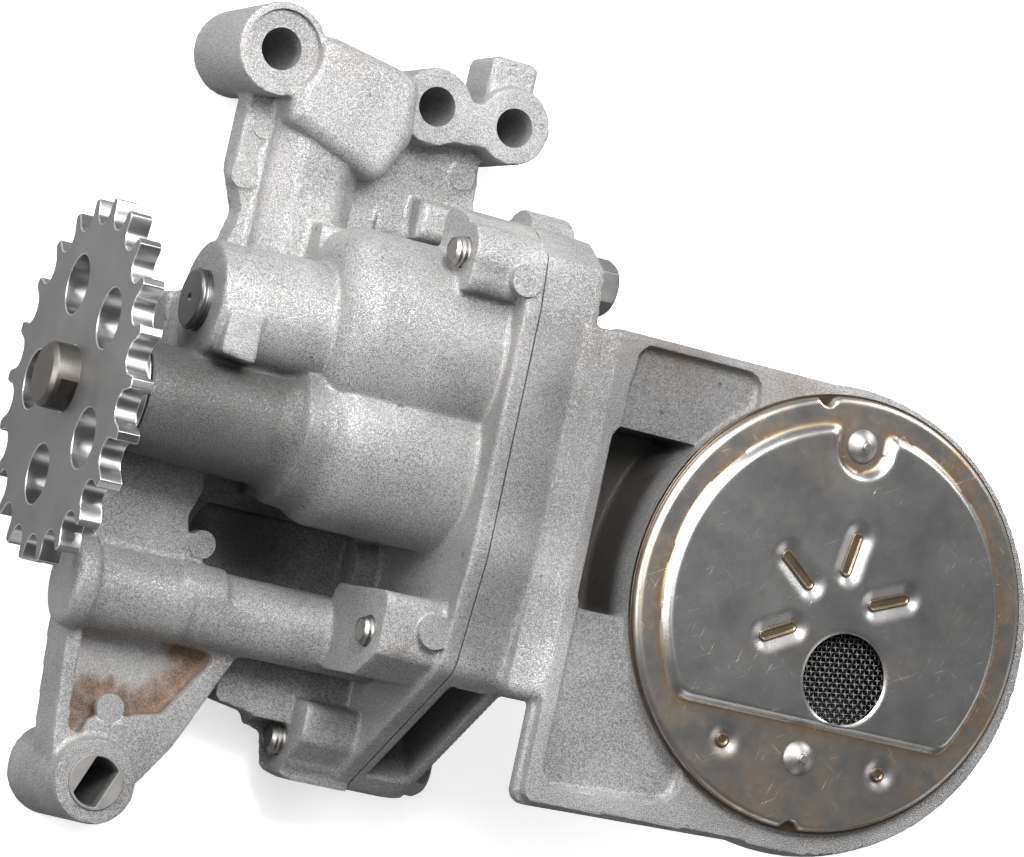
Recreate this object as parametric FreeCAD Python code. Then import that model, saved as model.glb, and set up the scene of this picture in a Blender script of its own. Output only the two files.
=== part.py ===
import FreeCAD, Part
import math
import os

Vec = FreeCAD.Vector

# Engine oil pump: two spur gears in a die-cast body, driven by a chain sprocket.
# A cast cover closes the gear chambers and carries the pickup pan and its strainer.
# While it is modelled, X runs along the drive shaft from the sprocket's outer face
# towards the strainer, Z points up to the strainer, and the shaft's axis is y = z = 0.
# At the end everything moves so that the main mounting hole's foot is the origin.

# Driving sizes, in millimetres
BLOCK_FACE_Z = -37.0          # face that bolts to the engine block
JOINT_X = 82.5                # plane where body and cover meet
RUN_GAP = 0.03                # radial gap of a shaft in its bearing
SIDE_GAP = 0.05               # gap at each end of a gear
COIL_GAP = 0.02               # gap at each end of the spring

# Gears and shafts
GEAR_TEETH = 10
GEAR_SPACING = 20.5           # idler axis lies this far from the drive axis, along y
GEAR_WIDTH = 30.0
PRESSURE_ANGLE = math.radians(28.0)
BACKLASH = 0.16
TIP_GAP = 0.07
SHAFT_R = 6.4
SHAFT_NOSE = 5.2              # length in front of the sprocket
SHAFT_TAIL = 10.5             # length held in the cover
SHAFT_CHAMFER = 0.9
IDLER_PIN_R = 6.0
IDLER_PIN_NOSE = 2.4
IDLER_PIN_TAIL = 7.5
KEY_WIDTH = 3.0
KEY_HEIGHT = 3.0
KEY_LENGTH = 20.0
KEY_COVER = 0.5               # metal of the gear between the key's corners and a tooth gap

# Chain sprocket
SPROCKET_TEETH = 22
CHAIN_PITCH = 9.525
ROLLER_SEAT_R = 3.35
SPROCKET_TIP_R = 35.3
SPROCKET_THICK = 4.4
HUB_R = 10.5
HUB_GAP = 0.4                 # between the hub's end and the long boss
LIGHT_HOLES = 5
LIGHT_HOLE_R = 5.85
LIGHT_HOLE_PITCH_R = 19.4
LIGHT_HOLE_START = math.radians(-19.5)
TOOTH_START = math.radians(8.1)
NOSE_FLAT = 1.1               # depth of the flat on the shaft's nose
NOSE_COLLAR = 1.8             # round part in front of that flat
NOSE_FLAT_TURN = math.radians(130)

# Body
BODY_WALL = 4.6               # wall round the gear chambers
CHAMBER_BLOCK = 35.5          # length of the chamber block along the shaft
IDLER_LOBE_SHIFT = 2.0        # the idler lobe's outside sits off its gear's axis
IDLER_LOBE_EXTRA = 2.5
LOBE_ROUND = 7.0
DRIVE_BOSS_X = 13.0
DRIVE_BOSS_R = 10.7
IDLER_BOSS_X = 22.7
IDLER_BOSS_R = 12.0
BOSS_DRAFT = 1.1
FLANGE_THICK = 3.4
WEB_TOP = -19.0
WEB_THICK = 7.0
FOOT_Z = -30.0                # where the forms beside the flange end below
ARM_TOP = -14.0               # rib level of the arm to the slotted mount
ARM_RECESS = 3.6

# Mounting features
TUBE_X, TUBE_Y = 32.0, 73.0
TUBE_R = 9.3
TUBE_BORE_R = 4.2
TUBE_TOP = -10.0
TUBE_SEAT_R = 7.8
TUBE_SEAT_DEPTH = 1.2
EAR_X, EAR_Y = 67.0, 70.3
EAR_SPACING = 17.3
EAR_R = 7.8
EAR_BORE_R = 3.95
EAR_TOP = -12.0
LOCATOR_X, LOCATOR_END = 78.0, 88.2   # the block beside the ears that locates the pump
LOCATOR_Y = (71.0, 84.0)
LOCATOR_LOW, LOCATOR_TOP = -26.5, -14.5
SLOT_X, SLOT_Y = 26.6, -73.6
SLOT_BOSS_R = 8.3
SLOT_TOP = -10.0
SLEEVE_R = 5.5
SLEEVE_HOLE_R = 4.9
SLEEVE_ACROSS = 5.4
SLEEVE_TURN = math.radians(-22.5)
OUTLET_X, OUTLET_Y = 48.0, 65.5
OUTLET_R = 6.0
OUTLET_DEPTH = 23.0
SEAL_R = 8.3
SEAL_SECTION = 1.2
SEAL_GAP = 0.1                # room beside and above the ring in its groove
GALLERY_R = 4.5               # drilling from the gears to the outlet port
GALLERY_Z = -20.0
PLUG_R = 6.0
PLUG_DEPTH = 3.0
PLUG_Y = 72.5
PORT_DEPTH = 9.0              # width of the port pockets beside the gears

# Relief valve
VALVE_Y, VALVE_Z = -36.6, -14.0
VALVE_BORE_R = 5.5
VALVE_WALL = 2.6
VALVE_START = 20.0
PISTON_LENGTH = 18.0
PISTON_WALL = 1.5
PISTON_CROWN = 3.0            # thickness of the piston's closed end
PISTON_GROOVES = (6.0, 9.0)   # oil grooves, measured from the closed end
SPRING_WIRE_R = 0.75
SPRING_TURNS = 9
SPRING_SEAT = 3.0             # height of the cup behind the spring
SPRING_CUP = 1.0              # depth of that cup
VALVE_END_WALL = 4.0
VALVE_VENT_R = 2.6            # hole through which the valve lets oil off

# Outline of the flange where body and cover meet, as (y, z), and how its corners round
FLANGE = [(43.5, 21.2), (33.0, 23.0), (-16.0, 23.0), (-38.5, 19.0), (-65.3, -21.0),
          (-66.0, -32.0), (50.0, -32.0), (51.8, -14.0), (50.3, 3.0), (48.9, 12.2)]
FLANGE_ROUND = [1.5, 12, 20, 5, 5, 3, 3, 6, 6, 4]

# Outlines seen from above, as (x, y), of the plate that carries the mounting features, of
# the outlet header, of the arm with its recess and of the leg beside the flange
WEB_OUTLINE = [(30.6, 64), (30.5, 49.5), (34, 41), (32, 33), (28, 23.5), (22.4, 22.3), (25, 7),
               (17, -8), (16, -29), (34, -29), (40, -16), (JOINT_X, -16), (JOINT_X, 53),
               (81.5, 64), (62, 66), (40, 74)]
WEB_ROUND = [3, 4, 4, 3, 2, 1, 3, 3, 1, 2, 3, 0, 1, 2, 2, 3]
HEADER_OUTLINE = [(36.5, 59.5), (57.5, 52.0), (62.5, 62), (61.5, 74.5), (41, 78.2), (35, 74)]
ARM_OUTLINE = [(15.6, -36), (15.8, -46), (17.6, -66), (19.2, -76), (33, -77.5), (42, -64.5),
               (51, -45), (60, -38), (60, -34), (20, -34)]
RECESS_OUTLINE = [(18.8, -43), (20.2, -64.4), (23.2, -65.6), (24.2, -61.8), (29.5, -61.8),
                  (33, -59.5), (38.5, -58.5), (47, -45.5), (38, -43)]
LEG_OUTLINE = [(49, -38), (51, -53.4), (59.5, -54.8), (60.5, -57), (64.5, -57.8), (66, -64.8),
               (70, -66), (JOINT_X, -66), (JOINT_X, -38)]
LEG_TOP = -20.0
WINDOW_X = 23.5               # the window in the leg starts this far before the joint
WINDOW_Y = (-66.5, -55.2)
WINDOW_Z = (-27.2, -19.0)
HEADER_TOP = -8.2
# The duct that leads to the header, as (x, z), and where it runs along y
DUCT_OUTLINE = [(36, -26), (36.5, -16), (40, -11.4), (51, -11.4), (55.5, -16), (56, -26)]
DUCT_Y = (22.0, 62.0)

# Cover and pickup pan
COVER_THICK = 12.5
SHOULDER_Y, SHOULDER_Z = 46.5, -9.0   # the cover's round shoulder
SHOULDER_R = 8.2
PAN_X = 98.0
PAN_TOP = 28.0
PAN_PLATE = 6.0
PAN_SIDE_HIGH = 32.3
PAN_SIDE_LOW = -60.0
PAN_RIM = 2.6
POCKET_DEPTH = 2.5
DEEP_FLOOR = 12.2             # floor of the deep recess beside the strainer
NECK_LENGTH = 16.0            # the neck between flange and pan reaches this far under it
NECK_Z = -6.0
NECK_SIDE = -41.0
WELL_BOTTOM = 6.0
HULL_BOTTOM = 1.5
HULL_DRAFT = 3.0
INLET_BORE_R = 3.6            # passage from the strainer's well to the gears
INLET_BORE_Z = 7.0

# Strainer
STRAINER_X, STRAINER_Y = 154.2, -11.8
CAP_R = 42.9
CAP_SHEET = 1.0
CAP_ROLL = 1.2                # rounding of the cap's turned-down edge
PLATEAU_R = 37.0
PLATEAU_RISE = 1.7
PLATEAU_CHORD = 22.4
RING_SHEET = 1.0
RING_EDGE = 0.5               # the ring stands this far outside the cap
SCREEN_THICK = 0.5
SCREEN_R = 41.2
WELL_R = 35.0
SEAT_WALL = 7.6
SEAT_DRAFT = 0.16             # how much the seat widens per millimetre downwards
INLET_X, INLET_Y = 158.9, -23.7
INLET_R = 9.0
RIVET_SHANK_R = 2.0
RIVET_HEAD_R = 3.5
RIVET_HEAD_RISE = 1.9
RIVET_FOOT = 16.0             # how far down the rivets reach into the cover
RIVET_PLACES = [(153.1, 21.8), (153.4, -40.6)]
# Long dimples from end to end, round dimples and the notches in the cap's rim
DIMPLES = [(139.4, -2.1, 147.2, -7.1), (154.8, 4.5, 154.4, -3.6), (160.8, -8.6, 169.0, -5.1),
           (138.6, -19.2, 145.7, -15.1)]
DIMPLE_HALF = 1.3
DIMPLE_DEPTH = 0.5
SMALL_DIMPLES = [(135.3, -40.4), (170.7, -40.6)]
SMALL_DIMPLE_R = 1.5
RIM_NOTCHES = [(142.5, 29.7), (153.8, -55.2)]
RIM_NOTCH_R = 1.8
NOTCH_R = 6.2                 # the raised field leaves the upper rivet this much room

# Fasteners
BOLT_R = 3.0
BOLT_HOLE_R = 3.3
BOLT_HEAD_ACROSS = 10.0
BOLT_HEAD_HIGH = 4.0
BOLT_HEAD_ROOM = 6.6          # radius kept free round a bolt's head
BOLT_REACH = 17.7             # how far a bolt reaches into the body
BOLT_BLIND = 1.5              # a blind hole goes this much deeper than its bolt
BOLT_BOSS_R = 6.2
# Each bolt: y, z and the length of its boss on the body; the last two sit in blind holes
BOLT_PLACES = [(40.6, 15.5, 15.0), (-34.3, 11.0, 16.0), (-58.6, -23.0, 15.0),
               (45.0, -24.0, 20.5), (10.0, -24.5, 20.5)]
# Square shoulders round the first three bolts, as (y, z), and the tops of the first two
BLOCK_TOPS = (21.0, 17.5)
BLOCK_OUTLINES = [[(33, 21.0), (43.4, 21.0), (48.6, 12.3), (50.6, 3), (34, 3)],
                  [(-26, 17.5), (-38, 17.5), (-43, 9), (-43, -10), (-26, -10)],
                  [(-50, -12), (-57.5, -12.2), (-65, -22), (-65.5, -31), (-50, -31)]]
REST_LENGTH = 13.7            # low block beside the first of them
REST_Y = (44.0, 52.0)
REST_TOP = -13.0
DOWEL_BOSS_R = 5.8
EJECTOR_R = 2.8
EJECTOR_RISE = 0.35
EJECTOR_PLACES = [(34.9, 58.7, WEB_TOP), (32.9, 48.2, WEB_TOP), (78.4, 58.9, WEB_TOP),
                  (38.4, -24.6, ARM_TOP + 1.5), (78.5, 37.6, BLOCK_TOPS[0] + 1.2),
                  (76.9, -31.8, BLOCK_TOPS[1] + 0.7)]
DOWEL_R = 4.0
DOWEL_BORE_R = 3.0
DOWEL_LENGTH = 9.0
DOWEL_PLACES = [(-22.0, -24.0), (42.0, -2.5)]

# Values that follow from the sizes above
GEAR_MODULE = GEAR_SPACING / GEAR_TEETH
GEAR_PITCH_R = GEAR_SPACING / 2
GEAR_TIP_R = GEAR_PITCH_R + GEAR_MODULE
GEAR_ROOT_R = GEAR_PITCH_R - 1.25 * GEAR_MODULE
KEY_REACH = math.sqrt((GEAR_ROOT_R - KEY_COVER) ** 2 - (KEY_WIDTH / 2) ** 2)
CHAMBER_R = GEAR_TIP_R + TIP_GAP
CHAMBER_X = JOINT_X - GEAR_WIDTH - 2 * SIDE_GAP
BLOCK_X = JOINT_X - CHAMBER_BLOCK
DRIVE_LOBE_R = CHAMBER_R + BODY_WALL
IDLER_LOBE_R = DRIVE_LOBE_R + IDLER_LOBE_EXTRA
IDLER_LOBE_Y = GEAR_SPACING + IDLER_LOBE_SHIFT
COVER_X = JOINT_X + COVER_THICK
BOLT_END_X = JOINT_X - BOLT_REACH
SPROCKET_PITCH_R = CHAIN_PITCH / (2 * math.sin(math.pi / SPROCKET_TEETH))
SEAT_TOP = PAN_TOP + 0.3
RING_TOP = SEAT_TOP + RING_SHEET
SCREEN_TOP = RING_TOP + SCREEN_THICK
CAP_TOP = SCREEN_TOP + CAP_SHEET
PLATEAU_TOP = CAP_TOP + PLATEAU_RISE
VALVE_R = VALVE_BORE_R + VALVE_WALL
SPRING_START = VALVE_START + PISTON_CROWN + COIL_GAP
SPRING_END = JOINT_X - SPRING_SEAT + SPRING_CUP - COIL_GAP
SPRING_R = VALVE_BORE_R - RUN_GAP - PISTON_WALL - SPRING_WIRE_R - 0.25


def rod(x0, x1, radius, y=0.0, z=0.0):
    """A round bar along X."""
    return Part.makeCylinder(radius, x1 - x0, Vec(x0, y, z), Vec(1, 0, 0))


def taper(x0, x1, r0, r1, y=0.0, z=0.0):
    """A tapered round bar along X."""
    return Part.makeCone(r0, r1, x1 - x0, Vec(x0, y, z), Vec(1, 0, 0))


def post(x, y, z0, z1, radius):
    """An upright round bar."""
    return Part.makeCylinder(radius, z1 - z0, Vec(x, y, z0), Vec(0, 0, 1))


def upright_taper(x, y, z0, z1, r0, r1):
    """An upright tapered bar."""
    return Part.makeCone(r0, r1, z1 - z0, Vec(x, y, z0), Vec(0, 0, 1))


def block(x0, x1, y0, y1, z0, z1):
    """A plain block between two corners."""
    return Part.makeBox(x1 - x0, y1 - y0, z1 - z0, Vec(x0, y0, z0))


def corner_points(before, corner, after, radius):
    """Start, middle and end of the arc that rounds one corner of an outline."""
    to_before = (before - corner).normalize()
    to_after = (after - corner).normalize()
    half = to_before.getAngle(to_after) / 2
    reach = radius / math.tan(half)
    start = corner + to_before * reach
    end = corner + to_after * reach
    inward = (to_before + to_after).normalize()
    middle = corner + inward * (radius / math.sin(half) - radius)
    return start, middle, end


def outline(points, radius, place):
    """A closed wire through 2-D points, each corner rounded; radius may be one per point."""
    corners = [place(u, v) for u, v in points]
    count = len(corners)
    radii = radius if isinstance(radius, (list, tuple)) else [radius] * count
    edges = []
    ends = []
    for i, corner in enumerate(corners):
        if radii[i] > 0:
            start, middle, end = corner_points(corners[i - 1], corner,
                                               corners[(i + 1) % count], radii[i])
            ends.append((start, end))
            edges.append(Part.Arc(start, middle, end).toShape())
        else:
            ends.append((corner, corner))
            edges.append(None)
    parts = []
    for i in range(count):
        if edges[i] is not None:
            parts.append(edges[i])
        leave = ends[i][1]
        arrive = ends[(i + 1) % count][0]
        if leave.distanceToPoint(arrive) > 1e-6:
            parts.append(Part.makeLine(leave, arrive))
    return Part.Wire(parts)


def flat(x_level):
    """Placer for outlines drawn in (y, z) on the plane x = x_level."""
    return lambda u, v: Vec(x_level, u, v)


def level(z_level):
    """Placer for outlines drawn in (x, y) on the plane z = z_level."""
    return lambda u, v: Vec(u, v, z_level)


def slab(points, radius, x0, x1):
    """An outline in (y, z) pushed along X."""
    return Part.Face(outline(points, radius, flat(x0))).extrude(Vec(x1 - x0, 0, 0))


def plate(points, radius, z0, z1):
    """An outline in (x, y) pushed along Z."""
    return Part.Face(outline(points, radius, level(z0))).extrude(Vec(0, 0, z1 - z0))


def side_profile(points, radius, y0, y1):
    """An outline in (x, z) pushed along Y."""
    wire = outline(points, radius, lambda u, v: Vec(u, y0, v))
    return Part.Face(wire).extrude(Vec(0, y1 - y0, 0))


def join(shapes):
    """One solid from several that overlap."""
    return shapes[0].multiFuse(shapes[1:]).removeSplitter()


def round_edges(shape, radius, chosen):
    """Fillet the edges that a test picks, largest radius that works out of three."""
    edges = [e for e in shape.Edges if chosen(e)]
    if not edges:
        return shape
    for share in (1.0, 0.6, 0.35):
        try:
            rounded = shape.makeFillet(radius * share, edges)
            if rounded.isValid() and rounded.Volume > 0:
                return rounded
        except Part.OCCError:
            continue
    return shape


def turned(shape, angle, axis=Vec(1, 0, 0), centre=Vec(0, 0, 0)):
    """A copy turned about an axis, in radians."""
    copy = shape.copy()
    copy.rotate(centre, axis, math.degrees(angle))
    return copy


# Pump gears

def involute_point(base_r, radius, start):
    """Point of an involute flank at a radius, as (y, z)."""
    roll = math.sqrt(max((radius / base_r) ** 2 - 1, 0))
    angle = start + roll - math.atan(roll)
    return radius * math.cos(angle), radius * math.sin(angle)


def gear_solid():
    """A spur gear about the X axis with one tooth pointing along +Y."""
    base_r = GEAR_PITCH_R * math.cos(PRESSURE_ANGLE)
    flank = math.tan(PRESSURE_ANGLE) - PRESSURE_ANGLE
    half_tooth = math.pi / (2 * GEAR_TEETH) - BACKLASH / (2 * GEAR_PITCH_R)
    start = -(half_tooth + flank)
    pitch_angle = 2 * math.pi / GEAR_TEETH
    edges = []
    previous = None
    for tooth in range(GEAR_TEETH):
        turn = tooth * pitch_angle

        def spot(point, mirror=1):
            y, z = point
            z = z * mirror
            return Vec(0, y * math.cos(turn) - z * math.sin(turn),
                       y * math.sin(turn) + z * math.cos(turn))

        foot = (GEAR_ROOT_R * math.cos(start), GEAR_ROOT_R * math.sin(start))
        rise = [involute_point(base_r, r, start)
                for r in (base_r, (base_r + GEAR_TIP_R) / 2, GEAR_TIP_R)]
        tip = (GEAR_TIP_R, 0)
        right = [spot(p) for p in rise]
        left = [spot(p, -1) for p in reversed(rise)]
        if previous is not None:
            edges.append(root_arc(previous, spot(foot), turn - pitch_angle / 2))
        else:
            first_foot = spot(foot)
        edges.append(Part.makeLine(spot(foot), right[0]))
        edges.append(Part.Arc(*right).toShape())
        edges.append(Part.Arc(right[2], spot(tip), left[0]).toShape())
        edges.append(Part.Arc(*left).toShape())
        edges.append(Part.makeLine(left[2], spot(foot, -1)))
        previous = spot(foot, -1)
    edges.append(root_arc(previous, first_foot, -pitch_angle / 2))
    face = Part.Face(Part.Wire(edges))
    return face.extrude(Vec(GEAR_WIDTH, 0, 0))


def root_arc(start, end, angle):
    """The arc at the foot of a tooth gap."""
    middle = Vec(0, GEAR_ROOT_R * math.cos(angle), GEAR_ROOT_R * math.sin(angle))
    return Part.Arc(start, middle, end).toShape()


def key_block():
    """The key between shaft and drive gear, under the tooth that points away from the idler."""
    x_mid = JOINT_X - SIDE_GAP - GEAR_WIDTH / 2
    return block(x_mid - KEY_LENGTH / 2, x_mid + KEY_LENGTH / 2, -KEY_REACH,
                 KEY_HEIGHT - KEY_REACH, -KEY_WIDTH / 2, KEY_WIDTH / 2)


def drive_gear():
    gear = gear_solid()
    gear.translate(Vec(JOINT_X - SIDE_GAP - GEAR_WIDTH, 0, 0))
    gear = gear.cut(rod(0, 2 * JOINT_X, SHAFT_R))
    return gear.cut(key_block())


def idler_gear():
    gear = turned(gear_solid(), math.pi / GEAR_TEETH)
    gear.translate(Vec(JOINT_X - SIDE_GAP - GEAR_WIDTH, GEAR_SPACING, 0))
    return gear.cut(rod(0, 2 * JOINT_X, IDLER_PIN_R + RUN_GAP, GEAR_SPACING))


def nose_flat_block():
    """What the flat takes off the shaft's nose."""
    cutter = block(NOSE_COLLAR - SHAFT_NOSE, 0, SHAFT_R - NOSE_FLAT, 2 * SHAFT_R,
                   -SHAFT_R, SHAFT_R)
    return turned(cutter, NOSE_FLAT_TURN)


def drive_shaft():
    shaft = rod(-SHAFT_NOSE, JOINT_X + SHAFT_TAIL, SHAFT_R)
    ends = [e for e in shaft.Edges if isinstance(e.Curve, Part.Circle)]
    shaft = shaft.makeChamfer(SHAFT_CHAMFER, ends)
    shaft = shaft.cut(nose_flat_block())
    return shaft.cut(key_block())


def idler_shaft():
    start = IDLER_BOSS_X - IDLER_PIN_NOSE
    pin = rod(start, JOINT_X + IDLER_PIN_TAIL, IDLER_PIN_R, GEAR_SPACING)
    ends = [e for e in pin.Edges if isinstance(e.Curve, Part.Circle)]
    pin = pin.makeChamfer(0.6, ends)
    groove = rod(start + 1.1, start + 1.7, IDLER_PIN_R + 1, GEAR_SPACING)
    groove = groove.cut(rod(start, start + 3, IDLER_PIN_R - 0.35, GEAR_SPACING))
    centre = taper(start - 0.01, start + 0.9, 1.0, 0.1, GEAR_SPACING)
    return pin.cut(groove).cut(centre)


# Sprocket

def tooth_gap(turn):
    """Edges of one tooth gap, from the tip before it to the tip after it."""
    seat = math.radians(65)
    tip_half = 0.85 / SPROCKET_TIP_R
    gap_half = math.pi / SPROCKET_TEETH - tip_half
    side = (SPROCKET_PITCH_R - ROLLER_SEAT_R * math.cos(seat), ROLLER_SEAT_R * math.sin(seat))
    tip = (SPROCKET_TIP_R * math.cos(gap_half), SPROCKET_TIP_R * math.sin(gap_half))
    bulge = ((side[0] + tip[0]) / 2, (side[1] + tip[1]) / 2 - 0.16)
    bottom = (SPROCKET_PITCH_R - ROLLER_SEAT_R, 0)

    def spot(point, mirror=1):
        y, z = point
        z = z * mirror
        return Vec(0, y * math.cos(turn) - z * math.sin(turn),
                   y * math.sin(turn) + z * math.cos(turn))

    down = Part.Arc(spot(tip, -1), spot(bulge, -1), spot(side, -1)).toShape()
    seat_arc = Part.Arc(spot(side, -1), spot(bottom), spot(side)).toShape()
    rise = Part.Arc(spot(side), spot(bulge), spot(tip)).toShape()
    return [down, seat_arc, rise], spot(tip, -1), spot(tip)


def drive_sprocket():
    step = 2 * math.pi / SPROCKET_TEETH
    edges = []
    first = None
    last = None
    for gap in range(SPROCKET_TEETH):
        turn = TOOTH_START + (gap + 0.5) * step
        pieces, start, end = tooth_gap(turn)
        if last is not None:
            edges.append(Part.makeLine(last, start))
        else:
            first = start
        edges.extend(pieces)
        last = end
    edges.append(Part.makeLine(last, first))
    plate_solid = Part.Face(Part.Wire(edges)).extrude(Vec(SPROCKET_THICK, 0, 0))
    hub = rod(SPROCKET_THICK - 0.5, DRIVE_BOSS_X - HUB_GAP, HUB_R)
    sprocket = join([plate_solid, hub])
    for hole in range(LIGHT_HOLES):
        angle = LIGHT_HOLE_START + hole * 2 * math.pi / LIGHT_HOLES
        sprocket = sprocket.cut(rod(-1, SPROCKET_THICK + 1, LIGHT_HOLE_R,
                                    LIGHT_HOLE_PITCH_R * math.cos(angle),
                                    LIGHT_HOLE_PITCH_R * math.sin(angle)))
    return sprocket.cut(rod(-1, DRIVE_BOSS_X, SHAFT_R))


# Relief valve

def relief_piston():
    radius = VALVE_BORE_R - RUN_GAP
    start = VALVE_START
    piston = rod(start, start + PISTON_LENGTH, radius, VALVE_Y, VALVE_Z)
    piston = piston.cut(rod(start + PISTON_CROWN, start + PISTON_LENGTH + 1, radius - PISTON_WALL,
                            VALVE_Y, VALVE_Z))
    for offset in PISTON_GROOVES:
        ring = rod(start + offset, start + offset + 0.8, radius + 1, VALVE_Y, VALVE_Z)
        ring = ring.cut(rod(start, start + PISTON_LENGTH, radius - 0.4, VALVE_Y, VALVE_Z))
        piston = piston.cut(ring)
    return piston


def relief_spring():
    length = SPRING_END - SPRING_START - 2 * SPRING_WIRE_R
    helix = Part.makeHelix(length / SPRING_TURNS, length, SPRING_R)
    section = Part.Wire([Part.Circle(Vec(SPRING_R, 0, 0), Vec(0, 1, 0), SPRING_WIRE_R).toShape()])
    coil = Part.Wire(helix).makePipeShell([section], True, True)
    coil.rotate(Vec(0, 0, 0), Vec(0, 1, 0), 90)
    coil.translate(Vec(SPRING_START + SPRING_WIRE_R, VALVE_Y, VALVE_Z))
    return coil


def relief_spring_seat():
    radius = VALVE_BORE_R - 0.1
    cup = rod(JOINT_X - SPRING_SEAT, JOINT_X, radius, VALVE_Y, VALVE_Z)
    inner = rod(JOINT_X - SPRING_SEAT - 1, JOINT_X - SPRING_SEAT + SPRING_CUP, radius - 1.2,
                VALVE_Y, VALVE_Z)
    return cup.cut(inner)


# Body


def lobe(y, radius, x0):
    """A gear chamber's outside: a drum with a well rounded front."""
    drum = rod(x0, JOINT_X, radius, y)
    front = [e for e in drum.Edges
             if isinstance(e.Curve, Part.Circle) and abs(e.Curve.Center.x - x0) < 0.01]
    return drum.makeFillet(LOBE_ROUND, front)


def body_castings():
    """Everything of the body that is metal before the bores are cut."""
    web_low = WEB_TOP - WEB_THICK
    boss_end = BLOCK_X + LOBE_ROUND
    forms = []
    forms.append(lobe(0, DRIVE_LOBE_R, BLOCK_X))
    forms.append(lobe(IDLER_LOBE_Y, IDLER_LOBE_R, BLOCK_X - 1))
    base = [(-13, -8), (-13, FOOT_Z), (41.5, FOOT_Z), (41.5, -5)]
    forms.append(slab(base, [1, 2, 2, 1], BLOCK_X - 1, JOINT_X))
    forms.append(slab(FLANGE, FLANGE_ROUND, JOINT_X - FLANGE_THICK, JOINT_X))
    forms.append(drive_boss(boss_end))
    forms.append(taper(IDLER_BOSS_X, boss_end, IDLER_BOSS_R, IDLER_BOSS_R + 1.2 * BOSS_DRAFT,
                       GEAR_SPACING))
    pad = [(24.2, 19.6), (31.4, 19.6), (31.4, 9.9), (24.2, 10.9)]
    forms.append(plate(pad, 0.8, 0, IDLER_BOSS_R + 1.2))
    forms.append(web_plate(web_low))
    forms.append(neck(web_low))
    forms.extend(outlet_side())
    forms.extend(valve_side(web_low))
    for y, z, boss in BOLT_PLACES:
        forms.append(rod(JOINT_X - boss, JOINT_X, BOLT_BOSS_R, y, z))
    for y, z in DOWEL_PLACES:
        forms.append(rod(JOINT_X - DOWEL_LENGTH, JOINT_X, DOWEL_BOSS_R, y, z))
    forms.extend(corner_blocks())
    forms.extend(ejector_marks())
    return join(forms)


def drive_boss(end):
    """The long bearing boss, flaring in a hollow curve where it meets the chambers."""
    flare = BLOCK_X - 8.5
    wide = DRIVE_BOSS_R + 3.8
    points = [Vec(DRIVE_BOSS_X, 0, 0), Vec(DRIVE_BOSS_X, DRIVE_BOSS_R, 0),
              Vec(flare, DRIVE_BOSS_R + 0.8 * BOSS_DRAFT, 0), Vec(BLOCK_X - 3, wide, 0),
              Vec(end, wide + 1.0, 0), Vec(end, 0, 0)]
    middle = Vec(BLOCK_X - 4.7, DRIVE_BOSS_R + 1.8, 0)
    edges = [Part.makeLine(points[0], points[1]), Part.makeLine(points[1], points[2]),
             Part.Arc(points[2], middle, points[3]).toShape()]
    edges.append(Part.makeLine(points[3], points[4]))
    edges.append(Part.makeLine(points[4], points[5]))
    edges.append(Part.makeLine(points[5], points[0]))
    return Part.Face(Part.Wire(edges)).revolve(Vec(0, 0, 0), Vec(1, 0, 0), 360)


def ejector_marks():
    """Round marks that the die's ejector pins left on flat surfaces."""
    marks = []
    for x, y, z in EJECTOR_PLACES:
        marks.append(post(x, y, z - 4, z + EJECTOR_RISE, EJECTOR_R))
    return marks


def web_plate(web_low):
    """The plate that carries the mounting features, seen from above."""
    return plate(WEB_OUTLINE, WEB_ROUND, web_low, WEB_TOP)


def neck(web_low):
    """The web between the two bearing bosses, in front of the chambers."""
    points = [(IDLER_BOSS_X + 1, 21), (IDLER_BOSS_X + 2, -4), (BLOCK_X + 4, -4),
              (BLOCK_X + 4, 24), (IDLER_BOSS_X + 5, 24)]
    return plate(points, [1, 1, 1, 1, 1], web_low, -5.0)


def outlet_side():
    """Tube, outlet duct, header, two-hole ear and locating block."""
    forms = [upright_taper(TUBE_X, TUBE_Y, BLOCK_FACE_Z, TUBE_TOP, TUBE_R - 0.5, TUBE_R)]
    forms.append(side_profile(DUCT_OUTLINE, [1, 4, 5, 5, 4, 1], DUCT_Y[0], DUCT_Y[1]))
    header = plate(HEADER_OUTLINE, [3, 3, 3, 4, 5, 3], BLOCK_FACE_Z, HEADER_TOP)
    forms.append(round_edges(header, 3.0, lambda e: at_level(e, HEADER_TOP)))
    ear_end = EAR_X + EAR_SPACING
    forms.append(post(EAR_X, EAR_Y, BLOCK_FACE_Z, EAR_TOP, EAR_R))
    forms.append(post(ear_end, EAR_Y + 0.4, BLOCK_FACE_Z, EAR_TOP, EAR_R))
    waist = [(EAR_X - 6, 63.6), (ear_end, 65), (ear_end, 75), (75.5, 73.0), (EAR_X - 6, 75.8)]
    forms.append(plate(waist, [1, 1, 1, 6, 1], BLOCK_FACE_Z + 6, EAR_TOP))
    low, high = LOCATOR_Y
    locator = [(LOCATOR_X, low), (LOCATOR_END, low), (LOCATOR_END, high), (LOCATOR_X, high)]
    forms.append(round_edges(plate(locator, 1.5, LOCATOR_LOW, LOCATOR_TOP), 1.0,
                             lambda e: at_level(e, LOCATOR_TOP)))
    return forms


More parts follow.
